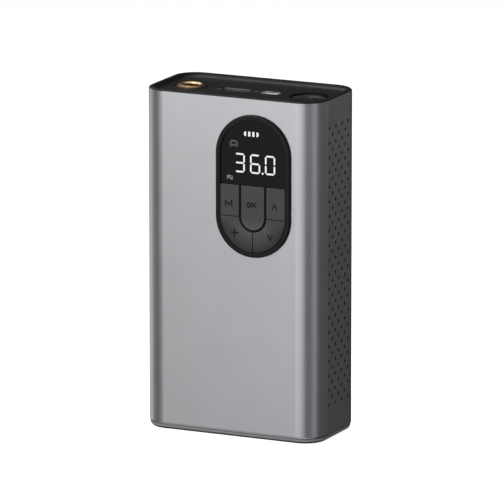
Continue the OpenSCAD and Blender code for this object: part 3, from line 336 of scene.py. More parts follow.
anodised, tree = new_material("anodised_aluminium")
blast = grained(tree, blast_per_metre)
# The outer edges and vent rims are painted paler: partly bare metal rubbed through the anodising, partly a
# painted highlight.
edge = rubbed_and_highlit(tree, 0.00022, 420.0)
along = node(tree, "Mapping", Vector=spot(tree), Scale=draw_line_stretch)
draw_lines = node(tree, "TexNoise", Vector=along.outputs[0], Scale=1600.0, Detail=2.0)
line_shift = ramp(tree, draw_lines.outputs["Fac"], 0.3, 0.7, -0.012, 0.012)
grey = between(tree, blast["Tone"], sleeve_grey, sleeve_deep)
worn_and_highlit = times(tree, edge, 0.85)
dull = maths(tree, "ADD", handled(tree, sleeve_roughness, 22.0, 0.025), line_shift)
shade(
    tree, Base_Color=between(tree, worn_and_highlit, grey, sleeve_bare_and_highlit),
    Metallic=1.0,
    Roughness=maths(tree, "MULTIPLY_ADD", edge, -0.06, dull),
    Normal=bumped(tree, blast["Height"], blast_depth),
)
dress(anodised, "housing_sleeve")

# ---- Dust screens ----
# Two strips of fine black woven wire, stuck to the inside of the sleeve behind the vents so
# that the pump draws air but no grit.

wires_per_metre = 2600.0
screen_black = (0.010, 0.010, 0.011, 1)
wire_black = (0.030, 0.030, 0.032, 1)

woven_wire, tree = new_material("woven_wire_screen")
warp, weft = [
    maths(tree, "SINE", times(tree, spot_xyz(tree)[way], wires_per_metre * math.pi))
    for way in "YZ"
]
over_under = maths(tree, "ABSOLUTE", times(tree, warp, weft))
shade(
    tree, Base_Color=between(tree, over_under, screen_black, wire_black),
    Roughness=maths(tree, "MULTIPLY_ADD", over_under, -0.25, 0.75),
    Specular_IOR_Level=0.2,
    Normal=bumped(tree, over_under, 0.05),
)
dress(woven_wire, "dust_screens")

# ---- Top cap ----
# A black glass-filled nylon moulding with a low rim, a cove and a sunk deck that carries every
# port. Two screws from the chassis pull it down. Its faces have a fine spark-eroded texture.


def moulded(name, colour, roughness, grain=1900.0, depth=0.006, specular=0.3, edge=0.35):
    """Plastic or rubber from a mould: an even grain, slow changes of tone, and rubbed edges that also carry
    a painted highlight.
    """
    material, tree = new_material(name)
    texture = grained(tree, grain)
    wear_and_highlight = rubbed_and_highlit(tree, 0.0003, 600.0, edge)
    dark = (*[c * 0.86 for c in colour], 1)
    pale = (*[c + 0.14 * (0.12 + c) for c in colour], 1)
    tone = between(tree, texture["Tone"], dark, (*colour, 1))
    shade(
        tree, Base_Color=between(tree, wear_and_highlight, tone, pale),
        Roughness=maths(tree, "MULTIPLY_ADD", wear_and_highlight, -0.25, handled(tree, roughness, 60.0, 0.05)),
        Specular_IOR_Level=specular,
        Normal=bumped(tree, texture["Height"], depth),
    )
    return material


dress(moulded("cap_nylon", (0.0065, 0.0065, 0.0072), 0.40, grain=2400.0, specular=0.34), "top_cap")

# ---- Base cap ----
# A black moulding like the top cap, with a small foot that it stands on. The band of it below
# the sleeve is painted to match. Four cross-headed screws hold it to the chassis.


def worked(name, colour, roughness, grain=1500.0, depth=0.003, tarnish=0.8, edge=0.4, turned=None):
    """Bare or plated metal. Turned is the centre, the axis and the pitch of its lathe marks."""
    material, tree = new_material(name)
    texture = grained(tree, grain)
    # The outer edges are painted brighter: partly rubbed metal, partly a painted highlight.
    wear_and_highlight = rubbed_and_highlit(tree, 0.0002, 700.0, edge)
    dark = (*[c * tarnish for c in colour], 1)
    bright = (*[c + (1 - c) * 0.35 for c in colour], 1)
    tone = between(tree, texture["Tone"], dark, (*colour, 1))
    height = texture["Height"]
    if turned:
        centre, axis, pitch = turned
        marks = with_effect(tree, lathe_marks, Centre=centre, Axis=axis, Pitch=pitch)
        height = maths(tree, "MULTIPLY_ADD", marks["Height"], 1.5, height)
    shade(
        tree, Base_Color=between(tree, wear_and_highlight, tone, bright),
        Metallic=1.0,
        Roughness=maths(tree, "MULTIPLY_ADD", wear_and_highlight, -0.12, handled(tree, roughness, 120.0, 0.05)),
        Normal=bumped(tree, height, depth),
    )
    return material


# Fine rings that a lathe tool leaves round an axis
lathe_marks, given, result = new_group(
    "lathe_marks", {"Centre": (0.0, 0.0, 0.0), "Axis": (0.0, 0.0, 1.0), "Pitch": 0.0001}, ["Height"],
)
offset = vector_maths(lathe_marks, "SUBTRACT", spot(lathe_marks), given["Centre"])["Vector"]
across = vector_maths(lathe_marks, "CROSS_PRODUCT", offset, given["Axis"])["Vector"]
along = vector_maths(lathe_marks, "DOT_PRODUCT", offset, given["Axis"])["Value"]
radius = vector_maths(lathe_marks, "LENGTH", across)["Value"]
travel = maths(lathe_marks, "ADD", radius, along)
turns = maths(lathe_marks, "DIVIDE", travel, given["Pitch"])
ring = maths(lathe_marks, "SINE", times(lathe_marks, turns, 2 * math.pi))
join(lathe_marks, maths(lathe_marks, "MULTIPLY_ADD", ring, 0.5, 0.5), result["Height"])

band_grey = (0.38, 0.38, 0.39, 1)
band_low = 0.65 * MM
band_fade = 0.5 * MM
sleeve_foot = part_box("housing_sleeve")[0].z

painted_base, tree = new_material("base_nylon_with_grey_band")
height = spot_xyz(tree)["Z"]
above_foot = ramp(tree, height, band_low, band_low + band_fade)
below_sleeve = maths(tree, "LESS_THAN", height, sleeve_foot + 0.1 * MM)
band = times(tree, above_foot, below_sleeve)
shade(
    tree, Base_Color=between(tree, band, (0.0095, 0.0095, 0.0103, 1), band_grey),
    Roughness=handled(tree, 0.48, 40.0, 0.04),
    Specular_IOR_Level=0.14,
    Normal=bumped(tree, grained(tree, 2400.0)["Height"], 0.003),
)
dress(painted_base, "base_cap")
screw_steel = worked("zinc_plated_screw", (0.55, 0.56, 0.58), 0.30, grain=2600.0, depth=0.002)
dress(screw_steel, "base_screws", "cap_screws", "panel_screws", "motor_screws", "pump_screws", "head_screws")

# ---- Air outlet ----
# A turned brass fitting that the tyre hose screws into. Its flange sits in the deck, and a nut
# with a rubber ring pulls it down from below. The bore has a fine cut thread.

outlet_low, outlet_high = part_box("air_outlet")
outlet_x = (outlet_low.x + outlet_high.x) / 2
flange_r = (outlet_high.x - outlet_low.x) / 2
shank_r = 5.8 * MM
barb_r = 2.25 * MM
barb_bore_r = 1.45 * MM
barb_ridge = 0.05 * MM
barb_ridges = 3
body_end = outlet_high.z - 12 * MM
flange_foot = outlet_high.z - 1.5 * MM
flange_top = outlet_high.z - 0.84 * MM
bore_r = 3.6 * MM
bore_foot = outlet_high.z - 10 * MM
lip_corners = (
    (6.35, -0.84), (6.25, -0.66), (6.1, -0.58), (5.5, -0.42), (5.42, -0.44), (5.36, -0.34), (5.22, -0.16),
    (5.04, -0.06), (4.90, -0.04), (4.76, -0.07), (4.62, -0.16), (3.68, -0.72), (3.6, -0.86),
)
outlet_segments = 96
thread_pitch = 0.8 * MM
thread_depth = 0.42 * MM
thread_half = 0.34 * MM
thread_crest = 0.05 * MM
thread_root = bore_r + 0.03 * MM
thread_low = outlet_high.z - 9.6 * MM
thread_high = outlet_high.z - 1.5 * MM
thread_steps = 40
thread_run_out = 0.6

brass_tone = (0.68, 0.485, 0.275)
bore_painted_shade = (0.060, 0.026, 0.006)
slope_painted_shade = (0.33, 0.22, 0.125)
flange_painted_shade = (0.045, 0.025, 0.011)
painted_shade_above = outlet_high.z - 2.0 * MM
outlet_axis = (outlet_x, 0.0, 0.0)
upright = (0.0, 0.0, 1.0)


def far_from(tree, aside, ahead):
    """How far a point lies from an axis."""
    return vector_maths(tree, "LENGTH", node(tree, "CombineXYZ", X=aside, Y=ahead).outputs[0])["Value"]


turned_brass, tree = new_material("turned_brass")
marks = with_effect(tree, lathe_marks, Centre=outlet_axis, Axis=upright, Pitch=0.11 * MM)
texture = grained(tree, 3000.0)
at = spot_xyz(tree)
from_axis = far_from(tree, maths(tree, "SUBTRACT", at["X"], outlet_x), at["Y"])
# Above the deck and in the bore the colour goes by radius: the bore, the outer slope and the flange are
# painted darker as painted shade, round the bright lip.
rings = node(tree, "ValToRGB", Fac=maths(tree, "DIVIDE", from_axis, flange_r))
for i, (ring_r, ring_tone) in enumerate((
    (3.64, bore_painted_shade), (3.80, brass_tone), (5.10, brass_tone), (5.25, slope_painted_shade), (6.1, slope_painted_shade),
    (6.35, flange_painted_shade),
)):
    stop = rings.color_ramp.elements[i] if i < 2 else rings.color_ramp.elements.new(ring_r * MM / flange_r)
    stop.position = ring_r * MM / flange_r
    stop.color = (*ring_tone, 1)
on_the_deck = maths(tree, "GREATER_THAN", at["Z"], painted_shade_above)
in_the_bore = maths(tree, "LESS_THAN", from_axis, bore_r + 0.1 * MM)
painted_shade_zone = maths(tree, "MAXIMUM", on_the_deck, in_the_bore)
plain_brass = between(tree, texture["Tone"], (*[tone * 0.9 for tone in brass_tone], 1), (*brass_tone, 1))
shade(
    tree, Base_Color=between(tree, painted_shade_zone, plain_brass, rings.outputs[0]),
    Metallic=1.0,
    Roughness=maths(tree, "MULTIPLY_ADD", texture["Tone"], 0.06, 0.30),
    Normal=bumped(tree, maths(tree, "ADD", marks["Height"], texture["Height"]), 0.0015),
)
dress(turned_brass, "air_outlet", "outlet_nut")


def new_piece(name, shape, material, body="root", smooth=False):
    """Turns finished mesh work into a named piece that moves with a body."""
    bmesh.ops.recalc_face_normals(shape, faces=shape.faces)
    mesh = bpy.data.meshes.new(name)
    shape.to_mesh(mesh)
    shape.free()
    mesh.materials.append(material)
    if smooth:
        mesh.shade_smooth()
        mesh.set_sharp_from_angle(angle=math.radians(32))
    piece = place(name, mesh)
    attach(piece, body)
    return piece


def skin(shape, rings, looped=False):
    """Joins neighbouring rings of corners with faces, and closes the ends or joins them."""
    rows = [[shape.verts.new(corner) for corner in ring] for ring in rings]
    count = len(rows[0])
    for first, second in zip(rows, rows[1:] + rows[:looped]):
        for i in range(count):
            j = (i + 1) % count
            shape.faces.new((first[i], first[j], second[j], second[i]))
    if not looped:
        shape.faces.new(rows[0][::-1])
        shape.faces.new(rows[-1])


def lathe(shape, profile, centre_x, segments):
    """Spins a closed profile of radius and height round an upright axis."""
    turns = [2 * math.pi * i / segments for i in range(segments)]
    skin(shape, [
        [(centre_x + r * math.cos(turn), r * math.sin(turn), z) for r, z in profile] for turn in turns
    ], looped=True)
    bmesh.ops.remove_doubles(shape, verts=shape.verts, dist=5e-6)


fitting_profile = [(barb_bore_r, outlet_low.z), (barb_r - 0.4 * MM, outlet_low.z)]
ridge_run = (body_end - outlet_low.z) / barb_ridges
for i in range(barb_ridges):
    foot = outlet_low.z + i * ridge_run
    fitting_profile += [(barb_r, foot + 0.35 * ridge_run), (barb_r - barb_ridge, foot + 0.95 * ridge_run)]
fitting_profile += [
    (barb_r, body_end), (shank_r, body_end), (shank_r, flange_foot), (flange_r, flange_foot),
    (flange_r, flange_top - 0.15 * MM), (flange_r - 0.15 * MM, flange_top),
]
fitting_profile += [(r * MM, outlet_high.z + z * MM) for r, z in lip_corners]
fitting_profile += [(bore_r, bore_foot), (barb_bore_r, bore_foot)]
fitting = bmesh.new()
lathe(fitting, fitting_profile, outlet_x, outlet_segments)
fitting_piece = new_piece("outlet_fitting", fitting, turned_brass, smooth=True)
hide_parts("air_outlet")

thread = bmesh.new()
thread_turns = (thread_high - thread_low) / thread_pitch
rings = []
for i in range(int(thread_turns * thread_steps) + 1):
    turn = i / thread_steps
    angle = 2 * math.pi * turn
    height = thread_low + turn * thread_pitch
    full = min(1.0, turn / thread_run_out, (thread_turns - turn) / thread_run_out)
    crest_r = bore_r - max(0.02, full) * thread_depth
    rings.append([
        (outlet_x + r * math.cos(angle), r * math.sin(angle), height + rise)
        for r, rise in (
            (thread_root, -thread_half), (crest_r, -thread_crest),
            (crest_r, thread_crest), (thread_root, thread_half),
        )
    ])
skin(thread, rings)
new_piece("outlet_thread", thread, turned_brass)

rubber = moulded(
    "black_rubber", (0.022, 0.021, 0.021), 0.62, grain=1500.0, depth=0.008, specular=0.25, edge=0.15,
)
dress(rubber, "outlet_o_ring")

# ---- USB-A socket ----
# A folded tin-plated shell soldered to the main board, with a plastic tongue. Four gilt springs
# on the tongue touch the plug, and two tabs pressed from the shell grip it.


def strip(shape, route, width, thickness):
    """A bent metal strip along its middle line, with the width along X and the thickness along Y."""
    skin(shape, [
        [(x + a * width / 2, y + b * thickness / 2, z) for a, b in four_corners] for x, y, z in route
    ])


shell_steel = worked(
    "tin_plated_steel", (0.50, 0.50, 0.52), 0.30, grain=2200.0, depth=0.0015, tarnish=0.9,
)
tongue_black = moulded("tongue_plastic", (0.036, 0.036, 0.038), 0.48, grain=2600.0, depth=0.003)
gilt = worked("gilt_contact", (0.90, 0.64, 0.28), 0.22, grain=4000.0, depth=0.0008, tarnish=0.94)

tongue_low, tongue_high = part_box("usb_a_tongue")
usb_a_x = (tongue_low.x + tongue_high.x) / 2
usb_a_face = 0.4 * MM
contact_pitch = (-3.5, -1.0, 1.0, 3.5)
contact_bend = (
    (0.03, -0.9), (-0.10, -1.5), (-0.30, -2.6), (-0.38, -3.4), (-0.30, -4.4), (-0.05, -6.6),
    (0.03, -8.4),
)

contacts = bmesh.new()
for x in contact_pitch:
    strip(
        contacts,
        [(usb_a_x + x * MM, usb_a_face + y * MM, tongue_high.z + z * MM) for y, z in contact_bend],
        1.1 * MM, 0.12 * MM,
    )
new_piece("usb_a_contacts", contacts, gilt)

tip_half = 5.5 * MM
tip_low_y, tip_high_y = usb_a_face + 0.05 * MM, tongue_high.y - 0.05 * MM
tip_top = tongue_high.z + 0.30 * MM
tip_edge = 0.12 * MM
tip = bmesh.new()
skin(tip, [
    [
        (usb_a_x + x * (tip_half - inset), tip_low_y + inset if y < 0 else tip_high_y - inset, z)
        for x, y in four_corners
    ]
    for inset, z in (
        (0.0, tongue_high.z - 0.3 * MM), (0.0, tip_top - tip_edge),
        (tip_edge * 0.3, tip_top - tip_edge * 0.3), (tip_edge, tip_top),
    )
])
tip_grey = moulded("tongue_tip_plastic", (0.0085, 0.0085, 0.009), 0.5, grain=2600.0, depth=0.003)
new_piece("usb_a_tongue_tip", tip, tip_grey)

deck_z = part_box("top_cap")[1].z - 1.8 * MM
gasket_round = 0.55 * MM
gasket_steps = 5


def rounded_ring(centre_x, half_x, half_y, radius, height):
    """Corners of a lying rounded rectangle, at a height."""
    ring = []
    for quarter, (way_x, way_y) in enumerate(((1, 1), (-1, 1), (-1, -1), (1, -1))):
        for i in range(gasket_steps + 1):
            angle = math.pi / 2 * (quarter + i / gasket_steps)
            ring.append((
                centre_x + way_x * (half_x - radius) + radius * math.cos(angle),
                way_y * (half_y - radius) + radius * math.sin(angle), height,
            ))
    return ring


gasket = bmesh.new()
skin(gasket, [
    rounded_ring(usb_a_x, half_x * MM, half_y * MM, gasket_round, deck_z + rise * MM)
    for half_x, half_y, rise in (
        (7.98, 3.78, -0.49), (7.98, 3.78, -0.16), (7.90, 3.70, -0.12), (6.75, 3.0, -0.46),
        (6.72, 2.97, -0.49),
    )
], looped=True)
gasket_grey = moulded(
    "gasket_silicone", (0.090, 0.090, 0.092), 0.45, grain=2600.0, depth=0.003, specular=0.35,
)
new_piece("usb_a_gasket", gasket, gasket_grey)

shell_low, shell_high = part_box("usb_a_shell")
grip_places = (-2.7, 2.7)
grip_bend = ((0.02, -8.0), (0.25, -6.4), (0.48, -4.6), (0.50, -4.0), (0.34, -3.1), (0.30, -2.7))
grips = bmesh.new()
for x in grip_places:
    strip(
        grips,
        [(usb_a_x + x * MM, shell_low.y + (0.3 + y) * MM, shell_high.z + z * MM) for y, z in grip_bend],
        1.7 * MM, 0.22 * MM,
    )
new_piece("usb_a_grips", grips, shell_steel)
dress(shell_steel, "usb_a_shell", "usb_c_shell")
dress(tongue_black, "usb_a_tongue", "usb_c_tongue")

# ---- USB-C socket ----
# A deep-drawn steel shell whose two legs are soldered to the board. Twelve gilt contacts lie
# flush on each side of its thin tongue.

c_tongue_low, c_tongue_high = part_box("usb_c_tongue")
usb_c_x = (c_tongue_low.x + c_tongue_high.x) / 2
c_contact_count = 12
c_contact_pitch = 0.5 * MM
c_contact_end = 3.6 * MM
c_contacts = bmesh.new()
for side in (-1, 1):
    for i in range(c_contact_count):
        x = usb_c_x + (i - (c_contact_count - 1) / 2) * c_contact_pitch
        y = side * 0.35 * MM
        long_one = i in (0, 3, 8, 11)
        top = c_tongue_high.z - (0.45 if long_one else 0.85) * MM
        strip(
            c_contacts, [(x, y, top), (x, y, c_tongue_high.z - c_contact_end)],
            0.26 * MM, 0.05 * MM,
        )
new_piece("usb_c_contacts", c_contacts, gilt)

trim_steps = 14


def stadium_ring(length, width, height):
    """Corners of a lying pill, at a height."""
    ring = []
    for way in (1, -1):
        for i in range(trim_steps + 1):
            angle = way * math.pi / 2 - math.pi * i / trim_steps
            ring.append((
                usb_c_x + way * (length - width) / 2 + width / 2 * math.cos(angle),
                width / 2 * math.sin(angle), height,
            ))
    return ring


trim = bmesh.new()
skin(trim, [
    stadium_ring(length * MM, width * MM, deck_z + rise * MM)
    for length, width, rise in (
        (8.38, 2.74, -1.00), (8.42, 2.78, -0.66), (8.50, 3.00, -0.54), (9.00, 4.90, 0.06),
        (9.10, 5.05, 0.09), (9.20, 5.18, 0.06), (9.24, 5.22, -0.04), (9.20, 5.1, -0.14),
        (9.05, 3.5, -0.57), (8.62, 2.94, -0.57), (8.56, 2.88, -1.00),
    )
], looped=True)
trim_steel = worked(
    "bright_steel_trim", (0.40, 0.40, 0.415), 0.42, grain=2600.0, depth=0.0008, tarnish=0.94,
)
new_piece("usb_c_mouth", trim, trim_steel, smooth=True)

# ---- Status light ----
# A short rod of clear acrylic pushed up through the deck. It brings the charging light of the
# main board to the top, and looks grey while the light is off.

clear_rod, tree = new_material("frosted_acrylic")
texture = grained(tree, 2400.0)
shade(
    tree, Base_Color=between(tree, texture["Tone"], (0.13, 0.13, 0.135, 1), (0.18, 0.18, 0.185, 1)),
    Roughness=handled(tree, 0.35, 400.0, 0.05),
    Specular_IOR_Level=0.3,
    Normal=bumped(tree, texture["Height"], 0.002),
)
dress(clear_rod, "status_light_pipe")

# ---- Lamp ----
# A work light in the right end of the deck: a domed clear lens with rings pressed into its
# underside, a bright cup below it, and one white diode on its own small board.

lens_low, lens_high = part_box("lamp_lens")
lamp_x = (lens_low.x + lens_high.x) / 2
lamp_r = (lens_high.x - lens_low.x) / 2
lens_edge = 0.5 * MM
dome_rise = lens_high.z - lens_low.z - lens_edge
dome_r = (lamp_r ** 2 + dome_rise ** 2) / (2 * dome_rise)
dome_steps = 16
pressed_rings = 9
ring_depth = 0.12 * MM
lens_segments = 96

profile = [(lamp_r, lens_low.z), (lamp_r, lens_low.z + lens_edge - 0.06 * MM)]
for i in range(dome_steps + 1):
    r = max((lamp_r - 0.05 * MM) * (1 - i / dome_steps), 0.001 * MM)
    profile.append((r, lens_high.z - dome_r + math.sqrt(dome_r ** 2 - r ** 2)))
ring_run = (lamp_r - 1.6 * MM) / pressed_rings
for i in range(pressed_rings):
    profile.append((0.001 * MM + i * ring_run, lens_low.z))
    profile.append((0.2 * MM + (i + 0.92) * ring_run, lens_low.z + ring_depth))
profile.append((lamp_r - 1.35 * MM, lens_low.z))
pressed_lens = bmesh.new()
lathe(pressed_lens, profile, lamp_x, lens_segments)

clear_lens, tree = new_material("clear_polycarbonate")
shade(
    tree, Base_Color=(0.46, 0.45, 0.50, 1),
    Roughness=handled(tree, 0.22, 160.0, 0.02),
    Transmission_Weight=1.0,
    IOR=1.5,
)
lens_piece = new_piece("lamp_ring_lens", pressed_lens, clear_lens, smooth=True)
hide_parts("lamp_lens")

bright_cup = worked("bright_cup", (0.50, 0.50, 0.52), 0.22, grain=900.0, depth=0.002, tarnish=0.95)
dress(bright_cup, "lamp_reflector")

dress(moulded("white_solder_mask", (0.62, 0.62, 0.60), 0.4, grain=1200.0, depth=0.004), "lamp_board")

phosphor, tree = new_material("diode_phosphor")
texture = grained(tree, 9000.0)
shade(
    tree, Base_Color=between(tree, texture["Height"], (0.72, 0.55, 0.10, 1), (0.80, 0.66, 0.22, 1)),
    Roughness=0.5,
    Normal=bumped(tree, texture["Height"], 0.004),
)
diode_half = 1.05 * MM
diode_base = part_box("lamp_board")[1].z
diode = bmesh.new()
skin(diode, [
    [(lamp_x + x * half, y * half, diode_base + rise) for x, y in four_corners]
    for half, rise in (
        (diode_half, -0.02 * MM), (diode_half, 0.06 * MM), (diode_half * 0.86, 0.16 * MM),
        (diode_half * 0.5, 0.22 * MM),
    )
])
new_piece("lamp_diode", diode, phosphor)

# ---- Control panel ----
# A pill-shaped black bezel let into the front of the sleeve, with hooks that catch behind the
# wall. It frames the smoked lens and the keys, and a rib fills the gap round the OK key.

bezel_tone = (0.0045, 0.0045, 0.005, 1)
bezel_worn_and_highlit = (0.055, 0.055, 0.056, 1)
recess_painted_shade = (0.001, 0.001, 0.001, 1)
panel_low, panel_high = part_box("panel_bezel")
panel_x = (panel_low.x + panel_high.x) / 2
panel_r = (panel_high.x - panel_low.x) / 2
arc_z = panel_low.z + panel_r
crest_y = panel_low.y + 0.45 * MM

# Behind the crest the bezel is painted near black, a painted shade in the recessed rib and the gaps round
# the keys. The crest's edges are painted paler, partly rubbed and partly a painted highlight.
bezel_black, tree = new_material("bezel_abs")
crest = maths(tree, "LESS_THAN", spot_xyz(tree)["Y"], crest_y)
wear_and_highlight = times(tree, rubbed_and_highlit(tree, 0.0003, 600.0, 0.7), crest)
shade(
    tree, Base_Color=between(tree, wear_and_highlight, between(tree, crest, recess_painted_shade, bezel_tone), bezel_worn_and_highlit),
    Roughness=maths(tree, "MULTIPLY_ADD", crest, -0.45, handled(tree, 0.70, 60.0, 0.05)),
    Specular_IOR_Level=0.26,
    Normal=bumped(tree, grained(tree, 2800.0)["Height"], 0.003),
)
dress(bezel_black, "panel_bezel")

# ---- Display ----
# A smoked acrylic lens over a block of white light cells. The cells draw the charge, the car
# symbol, the pressure and its unit, so the symbols show only where light comes through.

smoked, tree = new_material("smoked_acrylic")
texture = grained(tree, 1200.0)
smoke = between(tree, texture["Tone"], (0.0035, 0.0035, 0.0040, 1), (0.0045, 0.0045, 0.0050, 1))
shade(
    tree, Base_Color=smoke,
    Roughness=handled(tree, 0.20, 45.0, 0.03),
    Specular_IOR_Level=0.2,
    Normal=bumped(tree, texture["Height"], 0.0006),
)
dress(smoked, "display_lens")
dress(moulded("light_cell_block", (0.70, 0.70, 0.68), 0.45, grain=1500.0, depth=0.004), "display_module")

lens_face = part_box("display_lens")[0].y
key_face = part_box("ok_button")[0].y
inlay_proud = 0.015 * MM
inlay_sink = 0.05 * MM
fixed_order = Vector((1.0, 31.7, 977.3))


def inlay(name, outlines, face, material, body="root"):
    """A thin flush mark. Its outlines are in mm from the centre of the panel's lower arc."""
    shape = bmesh.new()
    for outline in outlines:
        shape.faces.new([
            shape.verts.new((panel_x + u * MM, face + inlay_sink, arc_z + v * MM)) for u, v in outline
        ])
    bmesh.ops.remove_doubles(shape, verts=shape.verts, dist=1e-7)
    front = bmesh.ops.extrude_face_region(shape, geom=shape.faces[:])["geom"]
    corners = [part for part in front if isinstance(part, bmesh.types.BMVert)]
    bmesh.ops.translate(shape, vec=(0, -inlay_sink - inlay_proud, 0), verts=corners)
    shape.verts.sort(key=lambda corner: corner.co.dot(fixed_order))
    shape.faces.sort(key=lambda mark_face: mark_face.calc_center_median().dot(fixed_order))
    return new_piece(name, shape, material, body)


def light_bar(start, end, width, steps=6):
    """The outline of a straight bar with round ends."""
    (x0, y0), (x1, y1) = start, end
    heading = math.atan2(y1 - y0, x1 - x0)
    outline = []
    for (x, y), first in (((x1, y1), heading - math.pi / 2), ((x0, y0), heading + math.pi / 2)):
        for i in range(steps + 1):
            angle = first + math.pi * i / steps
            outline.append((x + width / 2 * math.cos(angle), y + width / 2 * math.sin(angle)))
    return outline


def pen_line(points, width, closed=False):
    """The outlines of a line of even width with mitred corners, one for each straight run."""
    points = [Vector(point) for point in points]
    count = len(points)
    edges = []
    for i, point in enumerate(points):
        back = point - points[i - 1] if closed or i else points[1] - point
        ahead = points[(i + 1) % count] - point if closed or i < count - 1 else back
        first = Vector((-back.y, back.x)).normalized()
        second = Vector((-ahead.y, ahead.x)).normalized()
        mitre = (first + second).normalized()
        reach = mitre * (width / 2 / max(0.5, mitre.dot(first)))
        edges.append((tuple(point + reach), tuple(point - reach)))
    if closed:
        edges.append(edges[0])
    return [(a[0], a[1], b[1], b[0]) for a, b in zip(edges, edges[1:])]


def glow(name, radiance, tint):
    """Light cells behind the lens, a little uneven from one cell to the next."""
    material, tree = new_material(name)
    texture = grained(tree, 500.0)
    shade(
        tree, Base_Color=(0.02, 0.02, 0.02, 1),
        Roughness=0.4,
        Specular_IOR_Level=0.2,
        Emission_Color=between(tree, texture["Tone"], tint, (*[c * 0.94 for c in tint[:3]], 1)),
        Emission_Strength=radiance,
    )
    return material


lit_white = glow("lit_cells", 0.95, (1.0, 1.0, 1.0, 1))
lit_low = glow("half_lit_cells", 0.34, (0.95, 0.95, 1.0, 1))
# The unlit car cells get a faint painted glow, so they show grey through the smoked lens.
unlit_painted_glow = glow("unlit_cells_painted_glow", 0.07, (0.95, 0.95, 1.0, 1))

digit_w = 4.82
digit_h = 8.45
digit_foot = 19.3
digit_left = (-8.75, -1.48, 5.58)
stroke = 0.74
digit_cells = {"3": "abcdg", "6": "acdefg", "0": "abcdef"}
digit_outlines = []
for left, digit in zip(digit_left, "360"):
    x0, x1 = left + stroke / 2, left + digit_w - stroke / 2
    y0, y2 = digit_foot + stroke / 2, digit_foot + digit_h - stroke / 2
    y1 = (y0 + y2) / 2
    side, end = 0.60, 0.62
    cells = {
        "a": ((x0 + side, y2), (x1 - side, y2)), "d": ((x0 + side, y0), (x1 - side, y0)),
        "g": ((x0 + side, y1), (x1 - side, y1)), "b": ((x1, y1 + end), (x1, y2 - end)),
        "c": ((x1, y0 + end), (x1, y1 - end)), "e": ((x0, y0 + end), (x0, y1 - end)),
        "f": ((x0, y1 + end), (x0, y2 - end)),
    }
    digit_outlines += [light_bar(*cells[cell], stroke) for cell in digit_cells[digit]]
point_at = (4.5, digit_foot + stroke / 2)
digit_outlines.append([
    (point_at[0] + 0.46 * math.cos(a), point_at[1] + 0.46 * math.sin(a))
    for a in (math.pi * i / 8 for i in range(16))
])
inlay("display_digits", digit_outlines, lens_face, lit_white)

charge_foot, charge_top = 35.4, 37.5
charge_w = 1.0
charge_left = (-4.35, -2.35, -0.4, 1.6)
charge_outlines = []
for i, left in enumerate(charge_left):
    outline = []
    for quarter, (x, y) in enumerate(((1, 0), (1, 1), (0, 1), (0, 0))):
        round_one = (i == 0 and x == 0) or (i == 3 and x == 1)
        cx, cy = left + x * charge_w, charge_top if y else charge_foot
        if not round_one:
            outline.append((cx, cy))
            continue
        r = charge_w * 0.85
        mx, my = cx + (r if x == 0 else -r), cy - r if y else cy + r
        for step in range(7):
            turn = math.radians(90 * (quarter - 1) + 15 * step)
            outline.append((mx + r * math.cos(turn), my + r * math.sin(turn)))
    charge_outlines.append(outline)
inlay("display_charge", charge_outlines, lens_face, lit_white)

car_x, car_y = -9.15, 31.6
car_outlines = pen_line([
    (car_x + u, car_y + v)
    for u, v in ((-1.55, -0.55), (-1.55, 0.35), (-1.0, 1.25), (1.0, 1.25), (1.55, 0.35), (1.55, -0.55))
], 0.85, closed=True)
for wheel in (car_x - 1.45, car_x + 1.45):
    car_outlines.append(light_bar((wheel, car_y - 0.85), (wheel, car_y - 1.2), 0.7))
inlay("display_car", car_outlines, lens_face, unlit_painted_glow)

unit_x, unit_y, unit_h, unit_w, unit_pen = -12.2, 15.9, 1.65, 0.70, 0.26
unit_outlines = pen_line([
    (unit_x, unit_y), (unit_x, unit_y + unit_h), (unit_x + unit_w, unit_y + unit_h),
    (unit_x + unit_w, unit_y + 0.85), (unit_x + 0.15, unit_y + 0.85),
], unit_pen)
s_x = unit_x + 1.12
unit_outlines += pen_line([
    (s_x + unit_w, unit_y + unit_h - 0.05), (s_x, unit_y + unit_h - 0.05), (s_x, unit_y + unit_h * 0.53),
    (s_x + unit_w, unit_y + unit_h * 0.53), (s_x + unit_w, unit_y + 0.12), (s_x, unit_y + 0.12),
], unit_pen)
unit_outlines += pen_line([(s_x + 1.2, unit_y), (s_x + 1.2, unit_y + unit_h)], unit_pen)
inlay("display_unit", unit_outlines, lens_face, lit_low)

# ---- Keys ----
# Five grey silicone-faced keys, OK in the middle. Each has a stem with a tooth that catches
# behind the bezel, and a dark mark printed on its face: mode, OK, up, down and add.

key_tone = (0.088, 0.088, 0.090, 1)
key_painted_highlight = (0.128, 0.128, 0.130, 1)
key_painted_shade = (0.029, 0.029, 0.030, 1)
key_worn_and_highlit = (0.17, 0.17, 0.172, 1)
# Below the arc the key faces are painted lighter near the OK key and darker towards the bezel: a painted
# highlight and painted shade.
highlight_to_shade_start, highlight_to_shade_end, shade_fade_depth = [share * panel_r for share in (0.36, 0.90, 0.28)]

key_grey, tree = new_material("key_silicone")
texture = grained(tree, 2600.0)
at = spot_xyz(tree)
aside = maths(tree, "SUBTRACT", at["X"], panel_x)
below = maths(tree, "MAXIMUM", maths(tree, "SUBTRACT", arc_z, at["Z"]), 0.0)
highlight_to_shade = ramp(tree, far_from(tree, aside, below), highlight_to_shade_start, highlight_to_shade_end)
key_painted_light_and_shade = between(tree, highlight_to_shade, key_painted_highlight, key_painted_shade)
tone = between(tree, ramp(tree, below, 0.0, shade_fade_depth), key_tone, key_painted_light_and_shade)
